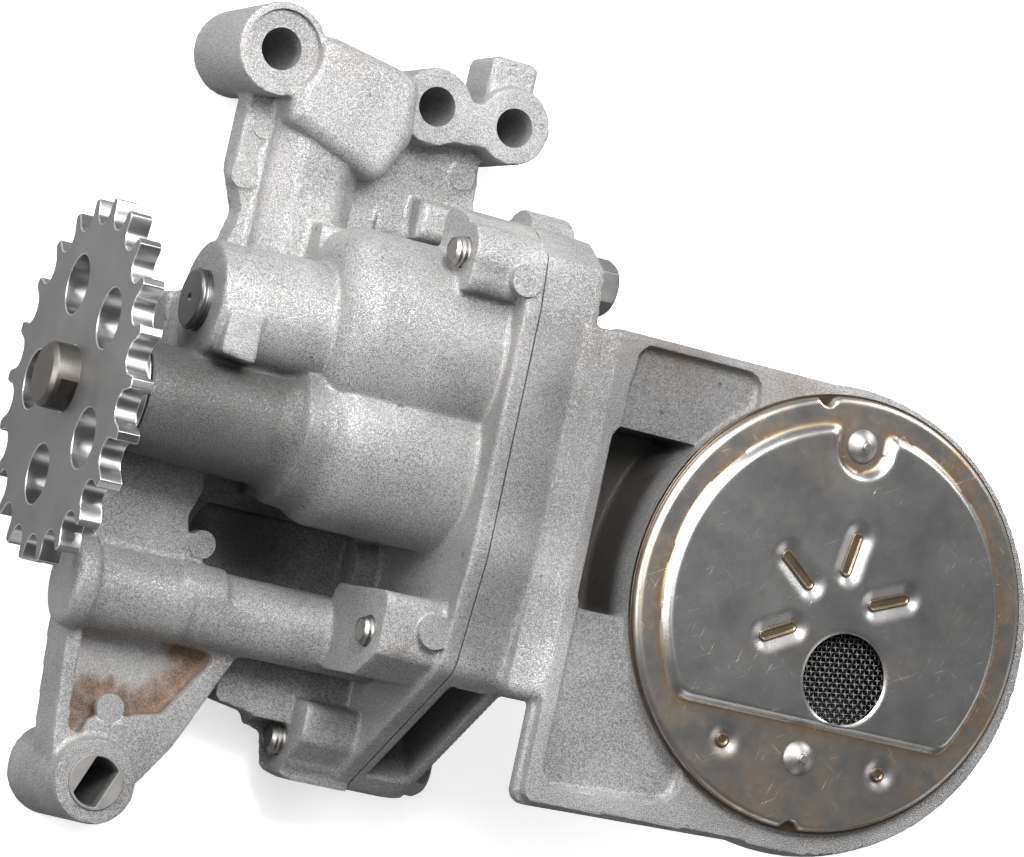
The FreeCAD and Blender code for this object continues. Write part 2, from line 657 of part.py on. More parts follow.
def valve_side(web_low):
    """Relief valve tube, the arm to the slotted mount and its boss."""
    end_x = VALVE_START - VALVE_END_WALL
    forms = [rod(end_x, 37, VALVE_R, VALVE_Y, VALVE_Z)]
    forms.append(rod(36, JOINT_X, VALVE_R - 0.5, VALVE_Y, VALVE_Z))
    rim = rod(end_x - 3.5, end_x + 1, VALVE_R + 0.9, VALVE_Y, VALVE_Z)
    forms.append(round_edges(rim, 1.8, lambda e: isinstance(e.Curve, Part.Circle)
                             and abs(e.Curve.Center.x - end_x + 3.5) < 0.01))
    forms.append(rod(35, 44, VALVE_R - 1.4, VALVE_Y + 1.6, VALVE_Z + 1))
    forms.append(plate([(17, -7), (16, -30), (37.5, -30), (34.6, -20), (36.6, -14), (35.5, -7)],
                       [1, 1, 2, 2, 2, 1], web_low, ARM_TOP + 1.5))
    forms.append(plate(ARM_OUTLINE, [1, 4, 6, 4, 4, 3, 3, 1, 1, 1], web_low, ARM_TOP))
    forms.append(upright_taper(SLOT_X, SLOT_Y, BLOCK_FACE_Z, SLOT_TOP,
                               SLOT_BOSS_R + 0.8, SLOT_BOSS_R))
    forms.append(plate(LEG_OUTLINE, [1, 2, 1, 1, 2, 2, 2, 0, 0], web_low - 2, LEG_TOP))
    floor = [(35, -10), (35, -40), (JOINT_X, -40), (JOINT_X, -10)]
    forms.append(plate(floor, 0, web_low - 6, web_low))
    forms.append(block(36, JOINT_X, VALVE_Y - 2, VALVE_Y + 2, web_low - 6, VALVE_Z))
    return forms


def corner_blocks():
    """The square shoulders that carry the cover bolts on the flange."""
    rest = block(JOINT_X - REST_LENGTH, JOINT_X, REST_Y[0], REST_Y[1], FOOT_Z, REST_TOP)
    blocks = [round_edges(rest, 2.0, lambda e: at_level(e, REST_TOP))]
    for points, bolt in zip(BLOCK_OUTLINES, BOLT_PLACES):
        blocks.append(slab(points, 2.5, JOINT_X - bolt[2], JOINT_X))
    return blocks


def at_level(edge, z):
    """True if an edge lies flat at this height."""
    box = edge.BoundBox
    return abs(box.ZMin - z) < 0.01 and abs(box.ZMax - z) < 0.01


def body_cuts():
    """Bores, chambers, ports, recesses and lightening pockets of the body."""
    cuts = [rod(0, CHAMBER_X + 1, SHAFT_R + RUN_GAP)]
    cuts.append(rod(IDLER_BOSS_X - 1, CHAMBER_X + 1, IDLER_PIN_R, GEAR_SPACING))
    chambers = join([rod(CHAMBER_X, JOINT_X + 1, CHAMBER_R),
                     rod(CHAMBER_X, JOINT_X + 1, CHAMBER_R, GEAR_SPACING)])
    cuts.append(chambers)
    port_y = GEAR_SPACING / 2
    half = PORT_DEPTH / 2
    cuts.append(block(CHAMBER_X, CHAMBER_X + PORT_DEPTH, port_y - half, port_y + half,
                      GALLERY_Z - half, -half))
    cuts.append(Part.makeCylinder(GALLERY_R, PLUG_Y + 1 - port_y,
                                  Vec(OUTLET_X, port_y, GALLERY_Z), Vec(0, 1, 0)))
    cuts.append(rod(OUTLET_X, CHAMBER_X + half, GALLERY_R - 0.1, port_y, GALLERY_Z))
    cuts.append(Part.makeCylinder(PLUG_R, PLUG_DEPTH + 20, Vec(OUTLET_X, PLUG_Y, GALLERY_Z),
                                  Vec(0, 1, 0)))
    cuts.append(post(OUTLET_X, OUTLET_Y, BLOCK_FACE_Z - 1, BLOCK_FACE_Z + OUTLET_DEPTH, OUTLET_R))
    cuts.append(seal_groove())
    cuts.append(post(TUBE_X, TUBE_Y, BLOCK_FACE_Z - 1, 0, TUBE_BORE_R))
    cuts.append(post(TUBE_X, TUBE_Y, TUBE_TOP - TUBE_SEAT_DEPTH, 0, TUBE_SEAT_R))
    for place in (0, 1):
        cuts.append(post(EAR_X + place * EAR_SPACING, EAR_Y, BLOCK_FACE_Z - 1, 0, EAR_BORE_R))
    cuts.append(post(SLOT_X, SLOT_Y, BLOCK_FACE_Z - 1, 0, SLEEVE_R))
    cuts.append(rod(VALVE_START, JOINT_X + 1, VALVE_BORE_R, VALVE_Y, VALVE_Z))
    cuts.append(post(VALVE_START + PISTON_LENGTH + 7, VALVE_Y, BLOCK_FACE_Z, VALVE_Z,
                     VALVE_VENT_R))
    pocket = plate(RECESS_OUTLINE, [1, 1.5, 1, 1, 1.5, 1.5, 1.5, 1, 1], ARM_TOP - ARM_RECESS,
                   ARM_TOP + 1)
    pocket = pocket.cut(rod(0, JOINT_X, VALVE_R, VALVE_Y, VALVE_Z))
    cuts.append(pocket.cut(post(27.9, -59.3, ARM_TOP - 6, ARM_TOP - 0.5, EJECTOR_R)))
    cuts.append(block(JOINT_X - WINDOW_X, JOINT_X - BOLT_PLACES[2][2], WINDOW_Y[0], WINDOW_Y[1],
                      WINDOW_Z[0], WINDOW_Z[1]))
    for y, z, boss in BOLT_PLACES:
        blind = boss > BOLT_REACH
        cuts.append(rod(BOLT_END_X - BOLT_BLIND if blind else BOLT_END_X,
                        JOINT_X + 1, BOLT_R, y, z))
    for y, z in DOWEL_PLACES:
        cuts.append(rod(JOINT_X - DOWEL_LENGTH / 2, JOINT_X + 1, DOWEL_R, y, z))
    return cuts


def seal_groove():
    """Ring groove round the outlet port on the block face."""
    top = BLOCK_FACE_Z + 2 * SEAL_SECTION + SEAL_GAP
    outer = post(OUTLET_X, OUTLET_Y, BLOCK_FACE_Z - 1, top, SEAL_R + SEAL_SECTION + SEAL_GAP)
    return outer.cut(post(OUTLET_X, OUTLET_Y, BLOCK_FACE_Z - 2, top + 1,
                          SEAL_R - SEAL_SECTION - SEAL_GAP))


def pump_body():
    body = body_castings()
    for cutter in body_cuts():
        body = body.cut(cutter)
    return body


# Cover with pickup pan

def pan_outline(grow=0.0):
    """Corners of the pan's flat side; its round end is a drum about the strainer."""
    return [(PAN_X - grow, PAN_SIDE_HIGH + grow), (PAN_X - grow, PAN_SIDE_LOW - grow),
            (STRAINER_X - 1, PAN_SIDE_LOW - grow + 1.6), (STRAINER_X - 1, PAN_SIDE_HIGH + grow)]


def pump_cover():
    pan_y = (PAN_SIDE_HIGH + PAN_SIDE_LOW + 1.0) / 2
    pan_r = (PAN_SIDE_HIGH - PAN_SIDE_LOW) / 2
    forms = [slab(FLANGE, FLANGE_ROUND, JOINT_X, COVER_X)]
    forms.append(rod(JOINT_X + 6, COVER_X + 3, SHOULDER_R, SHOULDER_Y, SHOULDER_Z))
    for step, grow in ((0.0, 0.0), (3.0, 0.7)):
        top = PAN_TOP - step
        forms.append(plate(pan_outline(grow), [2, 3, 0, 0], PAN_TOP - PAN_PLATE, top))
        forms.append(post(STRAINER_X, pan_y, PAN_TOP - PAN_PLATE, top, pan_r + grow))
    neck_side = [(COVER_X - 2.6, 22.8), (PAN_X, PAN_TOP), (PAN_X + NECK_LENGTH, PAN_TOP),
                 (PAN_X + NECK_LENGTH, NECK_Z), (COVER_X - 4, NECK_Z - 6)]
    neck_solid = side_profile(neck_side, [0, 0, 0, 4, 0], NECK_SIDE, PAN_SIDE_HIGH)
    forms.append(round_edges(neck_solid, 3.0, lambda e: abs(e.BoundBox.YMin - NECK_SIDE) < 0.01
                             and abs(e.BoundBox.YMax - NECK_SIDE) < 0.01
                             and e.BoundBox.XMin > JOINT_X + COVER_THICK / 2))
    hull_wide = WELL_R + 3.4
    hull = upright_taper(STRAINER_X, STRAINER_Y, HULL_BOTTOM, PAN_TOP - PAN_PLATE + 1,
                         hull_wide - HULL_DRAFT, hull_wide)
    hull = round_edges(hull, 4.0, lambda e: at_level(e, HULL_BOTTOM))
    throat = [(PAN_X - 2, 26), (PAN_X - 2, -36), (STRAINER_X, STRAINER_Y - hull_wide + 4),
              (STRAINER_X, STRAINER_Y + hull_wide - 4)]
    forms.append(hull)
    forms.append(plate(throat, 0, HULL_BOTTOM, PAN_TOP - PAN_PLATE + 1))
    forms.append(seat_cone(PAN_TOP - PAN_PLATE, SEAT_TOP))
    cover = join(forms)
    for cutter in cover_cuts():
        cover = cover.cut(cutter)
    for x, y in RIVET_PLACES:
        lug = upright_taper(x, y, WELL_BOTTOM - 1, SEAT_TOP, 5.0, 4.2)
        outward = math.copysign(WELL_R + 2, y - STRAINER_Y) + STRAINER_Y
        rib = block(x - 3.5, x + 3.5, min(y, outward), max(y, outward), WELL_BOTTOM - 1, SEAT_TOP)
        cover = cover.fuse(lug).fuse(rib).cut(post(x, y, RIVET_FOOT, CAP_TOP, RIVET_SHANK_R))
    return cover.removeSplitter()


def seat_cone(low, high):
    """The raised seat of the strainer, widening downwards."""
    top_r = WELL_R + SEAT_WALL
    return upright_taper(STRAINER_X, STRAINER_Y, low, high,
                         top_r + SEAT_DRAFT * (high - low), top_r)


def cover_cuts():
    """Wells, pockets, ports and holes of the cover."""
    cuts = [post(STRAINER_X, STRAINER_Y, WELL_BOTTOM, SEAT_TOP + 1, WELL_R)]
    left = PAN_X + PAN_RIM
    high = PAN_SIDE_HIGH - 1.5
    floor = PAN_TOP - POCKET_DEPTH
    shallow = [(left + 2.2, high), (left + 0.8, 0), (left + 0.8, PAN_SIDE_LOW + 3.8),
               (130.5, PAN_SIDE_LOW + 5.8), (130.5, high)]
    cuts.append(plate(shallow, [3, 3, 3, 4, 4], floor, PAN_TOP + 1).cut(
        seat_cone(floor - 1, SEAT_TOP)))
    deep = [(left, 14.5), (left, -21.5), (130, -21.5), (130, 14.5)]
    cuts.append(plate(deep, [3, 3, 0, 0], DEEP_FLOOR, PAN_TOP).cut(
        seat_cone(DEEP_FLOOR - 1, SEAT_TOP)))
    cuts.append(rod(JOINT_X - 1, JOINT_X + SHAFT_TAIL + 0.5, SHAFT_R + RUN_GAP))
    cuts.append(rod(JOINT_X - 1, JOINT_X + IDLER_PIN_TAIL + 0.5, IDLER_PIN_R + RUN_GAP,
                    GEAR_SPACING))
    cuts.append(rod(JOINT_X - 1, STRAINER_X - WELL_R + 4, INLET_BORE_R, GEAR_SPACING / 2,
                    INLET_BORE_Z))
    for y, z, boss in BOLT_PLACES:
        cuts.append(rod(JOINT_X - 1, COVER_X + 1, BOLT_HOLE_R, y, z))
        cuts.append(rod(COVER_X, COVER_X + BOLT_HEAD_HIGH + 12, BOLT_HEAD_ROOM, y, z))
    for y, z in DOWEL_PLACES:
        cuts.append(rod(JOINT_X - 1, JOINT_X + DOWEL_LENGTH / 2, DOWEL_R, y, z))
    pocket = [(-42.5, 16), (-63.5, -15), (-50, -24), (-33, 2)]
    cuts.append(slab(pocket, 1.5, JOINT_X + 2.0, COVER_X - 2.2))
    return cuts


# Strainer

def strainer_ring():
    ring = post(STRAINER_X, STRAINER_Y, SEAT_TOP, RING_TOP, CAP_R + RING_EDGE)
    return drill_rivets(ring.cut(plateau(SEAT_TOP - 1, RING_TOP + 1, PLATEAU_R - WELL_R)))


def drill_rivets(shape):
    for x, y in RIVET_PLACES:
        shape = shape.cut(post(x, y, 0, PLATEAU_TOP + 1, RIVET_SHANK_R))
    return shape


def strainer_screen():
    return drill_rivets(post(STRAINER_X, STRAINER_Y, RING_TOP, SCREEN_TOP, SCREEN_R))


def plateau(z0, z1, inset):
    """The cap's raised field: a disc cut by a chord, with a notch round the upper rivet."""
    field = post(STRAINER_X, STRAINER_Y, z0, z1, PLATEAU_R - inset)
    low = STRAINER_Y - PLATEAU_CHORD + inset
    field = field.cut(block(STRAINER_X - 60, STRAINER_X + 60, low - 60, low, z0 - 1, z1 + 1))
    notch_r = NOTCH_R + inset
    x, y = RIVET_PLACES[0]
    notch = post(x, y, z0 - 1, z1 + 1, notch_r)
    notch = notch.fuse(block(x - notch_r, x + notch_r, y, y + 30, z0 - 1, z1 + 1))
    return field.cut(notch)


def slot_bar(x0, y0, x1, y1, z0, z1, half):
    """A bar with round ends between two points, standing from z0 to z1."""
    along = Vec(x1 - x0, y1 - y0, 0)
    across = Vec(-along.y, along.x, 0).normalize() * half
    start, end = Vec(x0, y0, z0), Vec(x1, y1, z0)
    tip = Vec(along).normalize() * half
    wire = Part.Wire([
        Part.makeLine(start + across, end + across),
        Part.Arc(end + across, end + tip, end - across).toShape(),
        Part.makeLine(end - across, start - across),
        Part.Arc(start - across, start - tip, start + across).toShape()])
    return Part.Face(wire).extrude(Vec(0, 0, z1 - z0))


def strainer_cap():
    cap = post(STRAINER_X, STRAINER_Y, RING_TOP, CAP_TOP, CAP_R)
    cap = cap.fuse(plateau(SCREEN_TOP, PLATEAU_TOP, 0.0)).removeSplitter()
    cap = round_edges(cap, 0.85 * PLATEAU_RISE, lambda e: at_level(e, PLATEAU_TOP))
    cap = round_edges(cap, CAP_ROLL, lambda e: at_level(e, CAP_TOP) and
                      isinstance(e.Curve, Part.Circle) and e.Curve.Radius > CAP_R - 1)
    cap = cap.cut(post(STRAINER_X, STRAINER_Y, RING_TOP - 1, SCREEN_TOP, SCREEN_R))
    cap = cap.cut(plateau(SCREEN_TOP - 1, PLATEAU_TOP - CAP_SHEET, CAP_SHEET))
    cap = cap.cut(post(INLET_X, INLET_Y, 0, 60, INLET_R))
    for x0, y0, x1, y1 in DIMPLES:
        cap = cap.cut(slot_bar(x0, y0, x1, y1, PLATEAU_TOP - DIMPLE_DEPTH, PLATEAU_TOP + 1,
                               DIMPLE_HALF))
    for x, y in SMALL_DIMPLES:
        cap = cap.cut(post(x, y, CAP_TOP - DIMPLE_DEPTH, CAP_TOP + 1, SMALL_DIMPLE_R))
    for x, y in RIM_NOTCHES:
        cap = cap.cut(post(x, y, 0, 60, RIM_NOTCH_R))
    return drill_rivets(cap)


def strainer_rivets():
    heads = []
    for x, y in RIVET_PLACES:
        dome_r = (RIVET_HEAD_R ** 2 + RIVET_HEAD_RISE ** 2) / (2 * RIVET_HEAD_RISE)
        dome = Part.makeSphere(dome_r, Vec(x, y, CAP_TOP + RIVET_HEAD_RISE - dome_r))
        dome = dome.common(post(x, y, CAP_TOP, CAP_TOP + 10, RIVET_HEAD_R + 1))
        nub = upright_taper(x, y, CAP_TOP + 1, CAP_TOP + RIVET_HEAD_RISE + 0.5, 1.2, 0.9)
        shank = post(x, y, RIVET_FOOT, CAP_TOP + 0.5, RIVET_SHANK_R)
        heads.append(join([dome, nub, shank]))
    return Part.makeCompound(heads)


# Small parts

def hexagon(across, x0, x1, y, z):
    """A hexagonal bar along X."""
    corner = across / math.sqrt(3)
    points = []
    for k in range(6):
        angle = math.radians(60 * k)
        points.append((y + corner * math.cos(angle), z + corner * math.sin(angle)))
    return slab(points, 0, x0, x1)


def cover_bolts():
    bolts = []
    for y, z, boss in BOLT_PLACES:
        shank = rod(BOLT_END_X, COVER_X + 0.5, BOLT_R, y, z)
        tip = [e for e in shank.Edges if isinstance(e.Curve, Part.Circle)
               and abs(e.Curve.Center.x - BOLT_END_X) < 0.01]
        shank = shank.makeChamfer(0.6, tip)
        head = hexagon(BOLT_HEAD_ACROSS, COVER_X, COVER_X + BOLT_HEAD_HIGH, y, z)
        crown = taper(COVER_X - 4, COVER_X + BOLT_HEAD_HIGH, 12.5, BOLT_HEAD_ACROSS / 2 - 0.2, y, z)
        bolts.append(join([shank, head.common(crown)]))
    return Part.makeCompound(bolts)


def cover_dowels():
    sleeves = []
    for y, z in DOWEL_PLACES:
        sleeve = rod(JOINT_X - DOWEL_LENGTH / 2, JOINT_X + DOWEL_LENGTH / 2, DOWEL_R, y, z)
        sleeves.append(sleeve.cut(rod(JOINT_X - DOWEL_LENGTH, JOINT_X + DOWEL_LENGTH,
                                      DOWEL_BORE_R, y, z)))
    return Part.makeCompound(sleeves)


def mount_sleeve():
    sleeve = post(SLOT_X, SLOT_Y, BLOCK_FACE_Z, SLOT_TOP + 0.4, SLEEVE_R)
    half = SLEEVE_ACROSS / 2
    hole = post(SLOT_X, SLOT_Y, BLOCK_FACE_Z - 1, 0, SLEEVE_HOLE_R)
    slot = block(SLOT_X - half, SLOT_X + half, SLOT_Y - SLEEVE_R, SLOT_Y + SLEEVE_R,
                 BLOCK_FACE_Z - 1, 0)
    slot = turned(slot, SLEEVE_TURN, Vec(0, 0, 1), Vec(SLOT_X, SLOT_Y, 0))
    return sleeve.cut(hole.common(slot))


def outlet_seal():
    ring = Part.makeTorus(SEAL_R, SEAL_SECTION, Vec(OUTLET_X, OUTLET_Y, 0), Vec(0, 0, 1))
    ring.translate(Vec(0, 0, BLOCK_FACE_Z + SEAL_SECTION))
    return ring


def gallery_plug():
    plug = Part.makeCylinder(PLUG_R, PLUG_DEPTH, Vec(OUTLET_X, PLUG_Y, GALLERY_Z), Vec(0, 1, 0))
    hollow = Part.makeCylinder(PLUG_R - 1.2, PLUG_DEPTH - 1.2,
                               Vec(OUTLET_X, PLUG_Y + 1.2, GALLERY_Z), Vec(0, 1, 0))
    return plug.cut(hollow)


MAKERS = [pump_body, pump_cover, drive_shaft, drive_gear, drive_sprocket, idler_shaft,
          idler_gear, relief_piston, relief_spring, relief_spring_seat, cover_bolts,
          cover_dowels, mount_sleeve, outlet_seal, gallery_plug, strainer_ring,
          strainer_screen, strainer_cap, strainer_rivets]


def main():
    os.makedirs("parts", exist_ok=True)
    shift = Vec(-TUBE_X, -TUBE_Y, -BLOCK_FACE_Z)
    shapes = {maker.__name__: maker() for maker in MAKERS}
    shapes["gear_key"] = key_block()
    for name, shape in shapes.items():
        shape.translate(shift)
        shape.exportStep("parts/" + name + ".step")
        print(name, "solids", len(shape.Solids), "valid", shape.isValid(),
              "volume", round(shape.Volume, 1))


main()
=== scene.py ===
# %% [markdown]
# # Engine oil pump
# The pump is a die-cast housing with a chain sprocket on its left and a round pickup
# strainer on its right. The solid model gives every piece its size and place. This
# lesson dresses it: cast skin, turned steel, threads, stamped sheet and woven wire.
# The first lines load the solid model as a fixed frame.

# %% Load the frame
import math
import bpy
import numpy as np
from mathutils import Matrix, Vector


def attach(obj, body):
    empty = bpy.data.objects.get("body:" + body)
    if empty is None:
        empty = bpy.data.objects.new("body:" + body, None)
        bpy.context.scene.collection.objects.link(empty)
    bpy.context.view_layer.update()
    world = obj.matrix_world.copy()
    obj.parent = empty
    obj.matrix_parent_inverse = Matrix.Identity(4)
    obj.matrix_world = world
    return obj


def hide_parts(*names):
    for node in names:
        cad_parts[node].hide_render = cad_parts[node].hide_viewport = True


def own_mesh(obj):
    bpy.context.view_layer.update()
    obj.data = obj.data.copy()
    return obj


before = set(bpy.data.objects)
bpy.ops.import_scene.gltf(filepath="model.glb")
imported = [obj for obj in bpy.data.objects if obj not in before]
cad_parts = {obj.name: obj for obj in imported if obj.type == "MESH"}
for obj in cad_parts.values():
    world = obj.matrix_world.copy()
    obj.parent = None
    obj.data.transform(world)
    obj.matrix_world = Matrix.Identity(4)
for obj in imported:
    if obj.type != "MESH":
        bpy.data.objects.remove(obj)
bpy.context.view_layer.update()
MM = 0.001
print("solid nodes:", len(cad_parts))

# %% [markdown]
# ## Places on the pump
# A drawing of a pump measures from its shaft. All places below are in millimetres from
# the centre of the sprocket's outer face: x runs along the shaft towards the strainer,
# y towards the idler gear, z up towards the strainer's cap. The frame's own origin is
# another point, so one function turns a place on the drawing into a place in the scene.

# %% From the drawing to the scene
SHAFT_CENTRE = Vector((-32.0, -73.0, 37.0))
JOINT_X = 82.5


def spot(x, y, z):
    """A point of the drawing, in metres in the scene."""
    return (Vector((x, y, z)) + SHAFT_CENTRE) * MM


print("joint plane at x =", round(spot(JOINT_X, 0, 0).x, 4))

# %% [markdown]
# ## Small tools for modelling
# Operators act on what is selected, as they do by hand, so each step starts by
# deselecting everything. Four short helpers keep the lesson readable: one selects, one
# picks faces by a test on their centre and normal, one applies a modifier and one
# shades a piece smooth.

# %% Selecting, picking and applying


def only(*objects):
    """Deselect everything, then select these; the last one becomes active."""
    if bpy.context.mode != "OBJECT":
        bpy.ops.object.mode_set(mode="OBJECT")
    bpy.ops.object.select_all(action="DESELECT")
    for thing in objects:
        thing.select_set(True)
    bpy.context.view_layer.objects.active = objects[-1]


def pick_faces(piece, test):
    """Select the faces for which test(centre in mm of the drawing, normal) is true."""
    only(piece)
    bpy.ops.object.mode_set(mode="EDIT")
    bpy.ops.mesh.select_all(action="DESELECT")
    bpy.ops.object.mode_set(mode="OBJECT")
    for face in piece.data.polygons:
        centre = face.center / MM - SHAFT_CENTRE
        face.select = bool(test(centre, face.normal))
    bpy.ops.object.mode_set(mode="EDIT")
    bpy.ops.mesh.select_mode(type="FACE")


def modify(piece, kind, **settings):
    """Add a modifier with these settings and apply it."""
    only(piece)
    modifier = piece.modifiers.new(kind.title(), kind)
    for name, value in settings.items():
        setattr(modifier, name, value)
    bpy.ops.object.modifier_apply(modifier=modifier.name)
    return piece


def soften(piece, angle):
    """Smooth shading, with edges sharper than the angle left crisp."""
    only(piece)
    bpy.ops.object.shade_smooth_by_angle(angle=math.radians(angle))


# %% [markdown]
# ## A line of points
# A thread and the strainer's cap both start as an open line that is wound or spun. The
# line is one edge of a flat grid whose far row of points is deleted.

# %% A line


def line(count, name):
    """An open line of points along x, one millimetre apart, in order."""
    bpy.ops.mesh.primitive_grid_add(x_subdivisions=count - 1, y_subdivisions=1, size=1)
    piece = bpy.context.active_object
    piece.name = name
    only(piece)
    bpy.ops.object.mode_set(mode="EDIT")
    bpy.ops.mesh.select_mode(type="VERT")
    bpy.ops.mesh.select_all(action="DESELECT")
    bpy.ops.object.mode_set(mode="OBJECT")
    for vertex in piece.data.vertices:
        vertex.select = vertex.co.y > 0
    bpy.ops.object.mode_set(mode="EDIT")
    bpy.ops.mesh.delete(type="VERT")
    bpy.ops.object.mode_set(mode="OBJECT")
    for vertex in piece.data.vertices:
        vertex.co = (round((vertex.co.x + 0.5) * (count - 1)) * MM, 0, 0)
    return piece


# %% [markdown]
# ## Copying a solid
# The imported solids are loose triangles, and they stay as they are. A copy with its
# own mesh is merged at its doubles and its flat faces become single faces again. Then
# a bevel can run round the edges, which is what makes machined metal look real.

# %% A merged copy of a solid
DOUBLES = 0.002
FLAT_ANGLE = 0.6


def solid_copy(node, name, flatten=True):
    """A copy of a solid with its own mesh, merged, that stands for it."""
    piece = bpy.data.objects.new(name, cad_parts[node].data.copy())
    bpy.context.scene.collection.objects.link(piece)
    piece.data.materials.clear()
    only(piece)
    bpy.ops.mesh.customdata_custom_splitnormals_clear()
    bpy.ops.object.mode_set(mode="EDIT")
    bpy.ops.mesh.select_all(action="SELECT")
    bpy.ops.mesh.remove_doubles(threshold=DOUBLES * MM)
    if flatten:
        bpy.ops.mesh.dissolve_limited(angle_limit=math.radians(FLAT_ANGLE))
    bpy.ops.object.mode_set(mode="OBJECT")
    return piece


def bevelled(piece, width, segments=2, angle=35):
    """Round off every edge sharper than the angle, width in millimetres."""
    modify(piece, "BEVEL", width=width * MM, segments=segments, limit_method="ANGLE",
           angle_limit=math.radians(angle), harden_normals=False,
           use_clamp_overlap=True, miter_outer="MITER_ARC")
    soften(piece, angle)
    return modify(piece, "WEIGHTED_NORMAL", keep_sharp=True, weight=100)


def triangles(piece):
    """How many triangles a piece has."""
    piece.data.calc_loop_triangles()
    return len(piece.data.loop_triangles)


def joined(pieces, name):
    """Several objects as one."""
    only(*pieces)
    bpy.ops.object.join()
    whole = bpy.context.view_layer.objects.active
    whole.name = name
    return whole


# %% [markdown]
# ## Round bars as plugs and cutters
# Round bars are needed again and again, upright or along the shaft. Most of them only
# fill or cut holes, so a plain cylinder with many sides will do.

# %% Bars


def bar(x, y, z, length, radius, along="z", sides=96):
    """A round bar from a point of the drawing, along x, y or z."""
    axis = {"x": Vector((1, 0, 0)), "y": Vector((0, 1, 0)), "z": Vector((0, 0, 1))}[along]
    turn = {"x": (0, math.pi / 2, 0), "y": (math.pi / 2, 0, 0), "z": (0, 0, 0)}[along]
    middle = spot(x, y, z) + axis * length * MM / 2
    bpy.ops.mesh.primitive_cylinder_add(vertices=sides, radius=radius * MM,
                                        depth=length * MM, location=middle, rotation=turn)
    piece = bpy.context.active_object
    only(piece)
    bpy.ops.object.transform_apply(location=True, rotation=True, scale=True)
    return piece


def cut_away(piece, cutter):
    """Cut with another object, which is used up."""
    modify(piece, "BOOLEAN", object=cutter, operation="DIFFERENCE", solver="MANIFOLD")
    bpy.data.objects.remove(cutter)


# %% [markdown]
# ## The cast skin
# A die casting has no sharp edges: metal flows round every corner with a radius of a
# millimetre or so, while holes and joint faces that were machined later are crisp.
# Bevelling some thousand cast edges by hand is slow and fails where they meet. So the
# casting is remade in small voxels and smoothed, which rounds all corners at once.
# The holes are plugged before and bored again afterwards, as in the real workshop, and
# the joint face is first pushed outwards so that the saw cut can leave it sharp. The
# cut is a little inside the joint, which leaves a fine dark line between the castings.

# %% A rounded casting
VOXEL = 0.5
SMOOTHING = 4
MOST_TRIANGLES = 185000
CREASE_ANGLE = 42
JOINT_GROWTH = 3.0
JOINT_LINE = 0.14
SAW_FROM, SAW_TO = -80.0, 58.0
SAW_MARGIN = 2.0
SAW_LENGTH, SAW_WIDTH = 60.0, 200.0


def cast_skin(node, name, joint_side, plugs, bores):
    """A casting with soft corners and freshly bored holes."""
    piece = solid_copy(node, name, flatten=False)
    pick_faces(piece, lambda c, n: abs(c.x - JOINT_X) < 0.02 and n.x * joint_side > 0.9
               and c.y < SAW_TO - SAW_MARGIN)
    bpy.ops.mesh.extrude_region_move(
        TRANSFORM_OT_translate={"value": (JOINT_GROWTH * joint_side * MM, 0, 0)})
    only(piece)
    piece = joined([bar(*plug) for plug in plugs] + [piece], name)
    modify(piece, "REMESH", mode="VOXEL", voxel_size=VOXEL * MM, adaptivity=0.0)
    modify(piece, "SMOOTH", factor=0.5, iterations=SMOOTHING)
    full = triangles(piece)
    if full > MOST_TRIANGLES:
        modify(piece, "DECIMATE", ratio=MOST_TRIANGLES / full)
    for bore in bores:
        cut_away(piece, bar(*bore))
    bpy.ops.mesh.primitive_cube_add(size=1)
    saw = bpy.context.active_object
    saw.scale = (SAW_LENGTH * MM, (SAW_TO - SAW_FROM) * MM, SAW_WIDTH * MM)
    saw_x = JOINT_X + (SAW_LENGTH / 2 - JOINT_LINE) * joint_side
    saw.location = spot(saw_x, (SAW_TO + SAW_FROM) / 2, 0)
    only(saw)
    bpy.ops.object.transform_apply(location=True, rotation=True, scale=True)
    cut_away(piece, saw)
    soften(piece, CREASE_ANGLE)
    print(name, "made of", full, "triangles, kept", triangles(piece))
    return piece


# %% [markdown]
# ## The body
# Plugs close the main bolt hole with its seat, the two ear holes, the sleeve's hole,
# the hole of the idler pin and the three places where cover bolts come through. The
# bores then open them again, and also clear the gear chambers and the valve's tube.
# Each is listed as a place, a length, a radius and a direction, and each cover bolt as
# its place across the shaft and the start of its plug.

# %% Body casting
BOLTS = [(40.6, 15.5, 67.5), (-34.3, 11.0, 66.5), (-58.6, -23.0, 67.5)]
FOOT = -37.0
BELOW = FOOT - 1
THROUGH = 40.0
MAIN_BOLT = (32.0, 73.0)
LEFT_EAR, RIGHT_EAR = (67.0, 70.3), (84.3, 70.3)
SLEEVE = (26.6, -73.6)
IDLER_Y = 20.5
CHAMBER_X, CHAMBER_R = 52.4, 12.6
body_plugs = [(*MAIN_BOLT, FOOT, 27.0, 8.0, "z"),
              (*LEFT_EAR, FOOT, 25.0, 4.4, "z"),
              (*RIGHT_EAR, FOOT, 25.0, 4.4, "z"),
              (*SLEEVE, FOOT, 27.0, 5.9, "z"),
              (22.7, IDLER_Y, 0.0, 10.0, 6.5, "x")]
body_plugs += [(start, y, z, 6.0, 3.4, "x") for y, z, start in BOLTS]
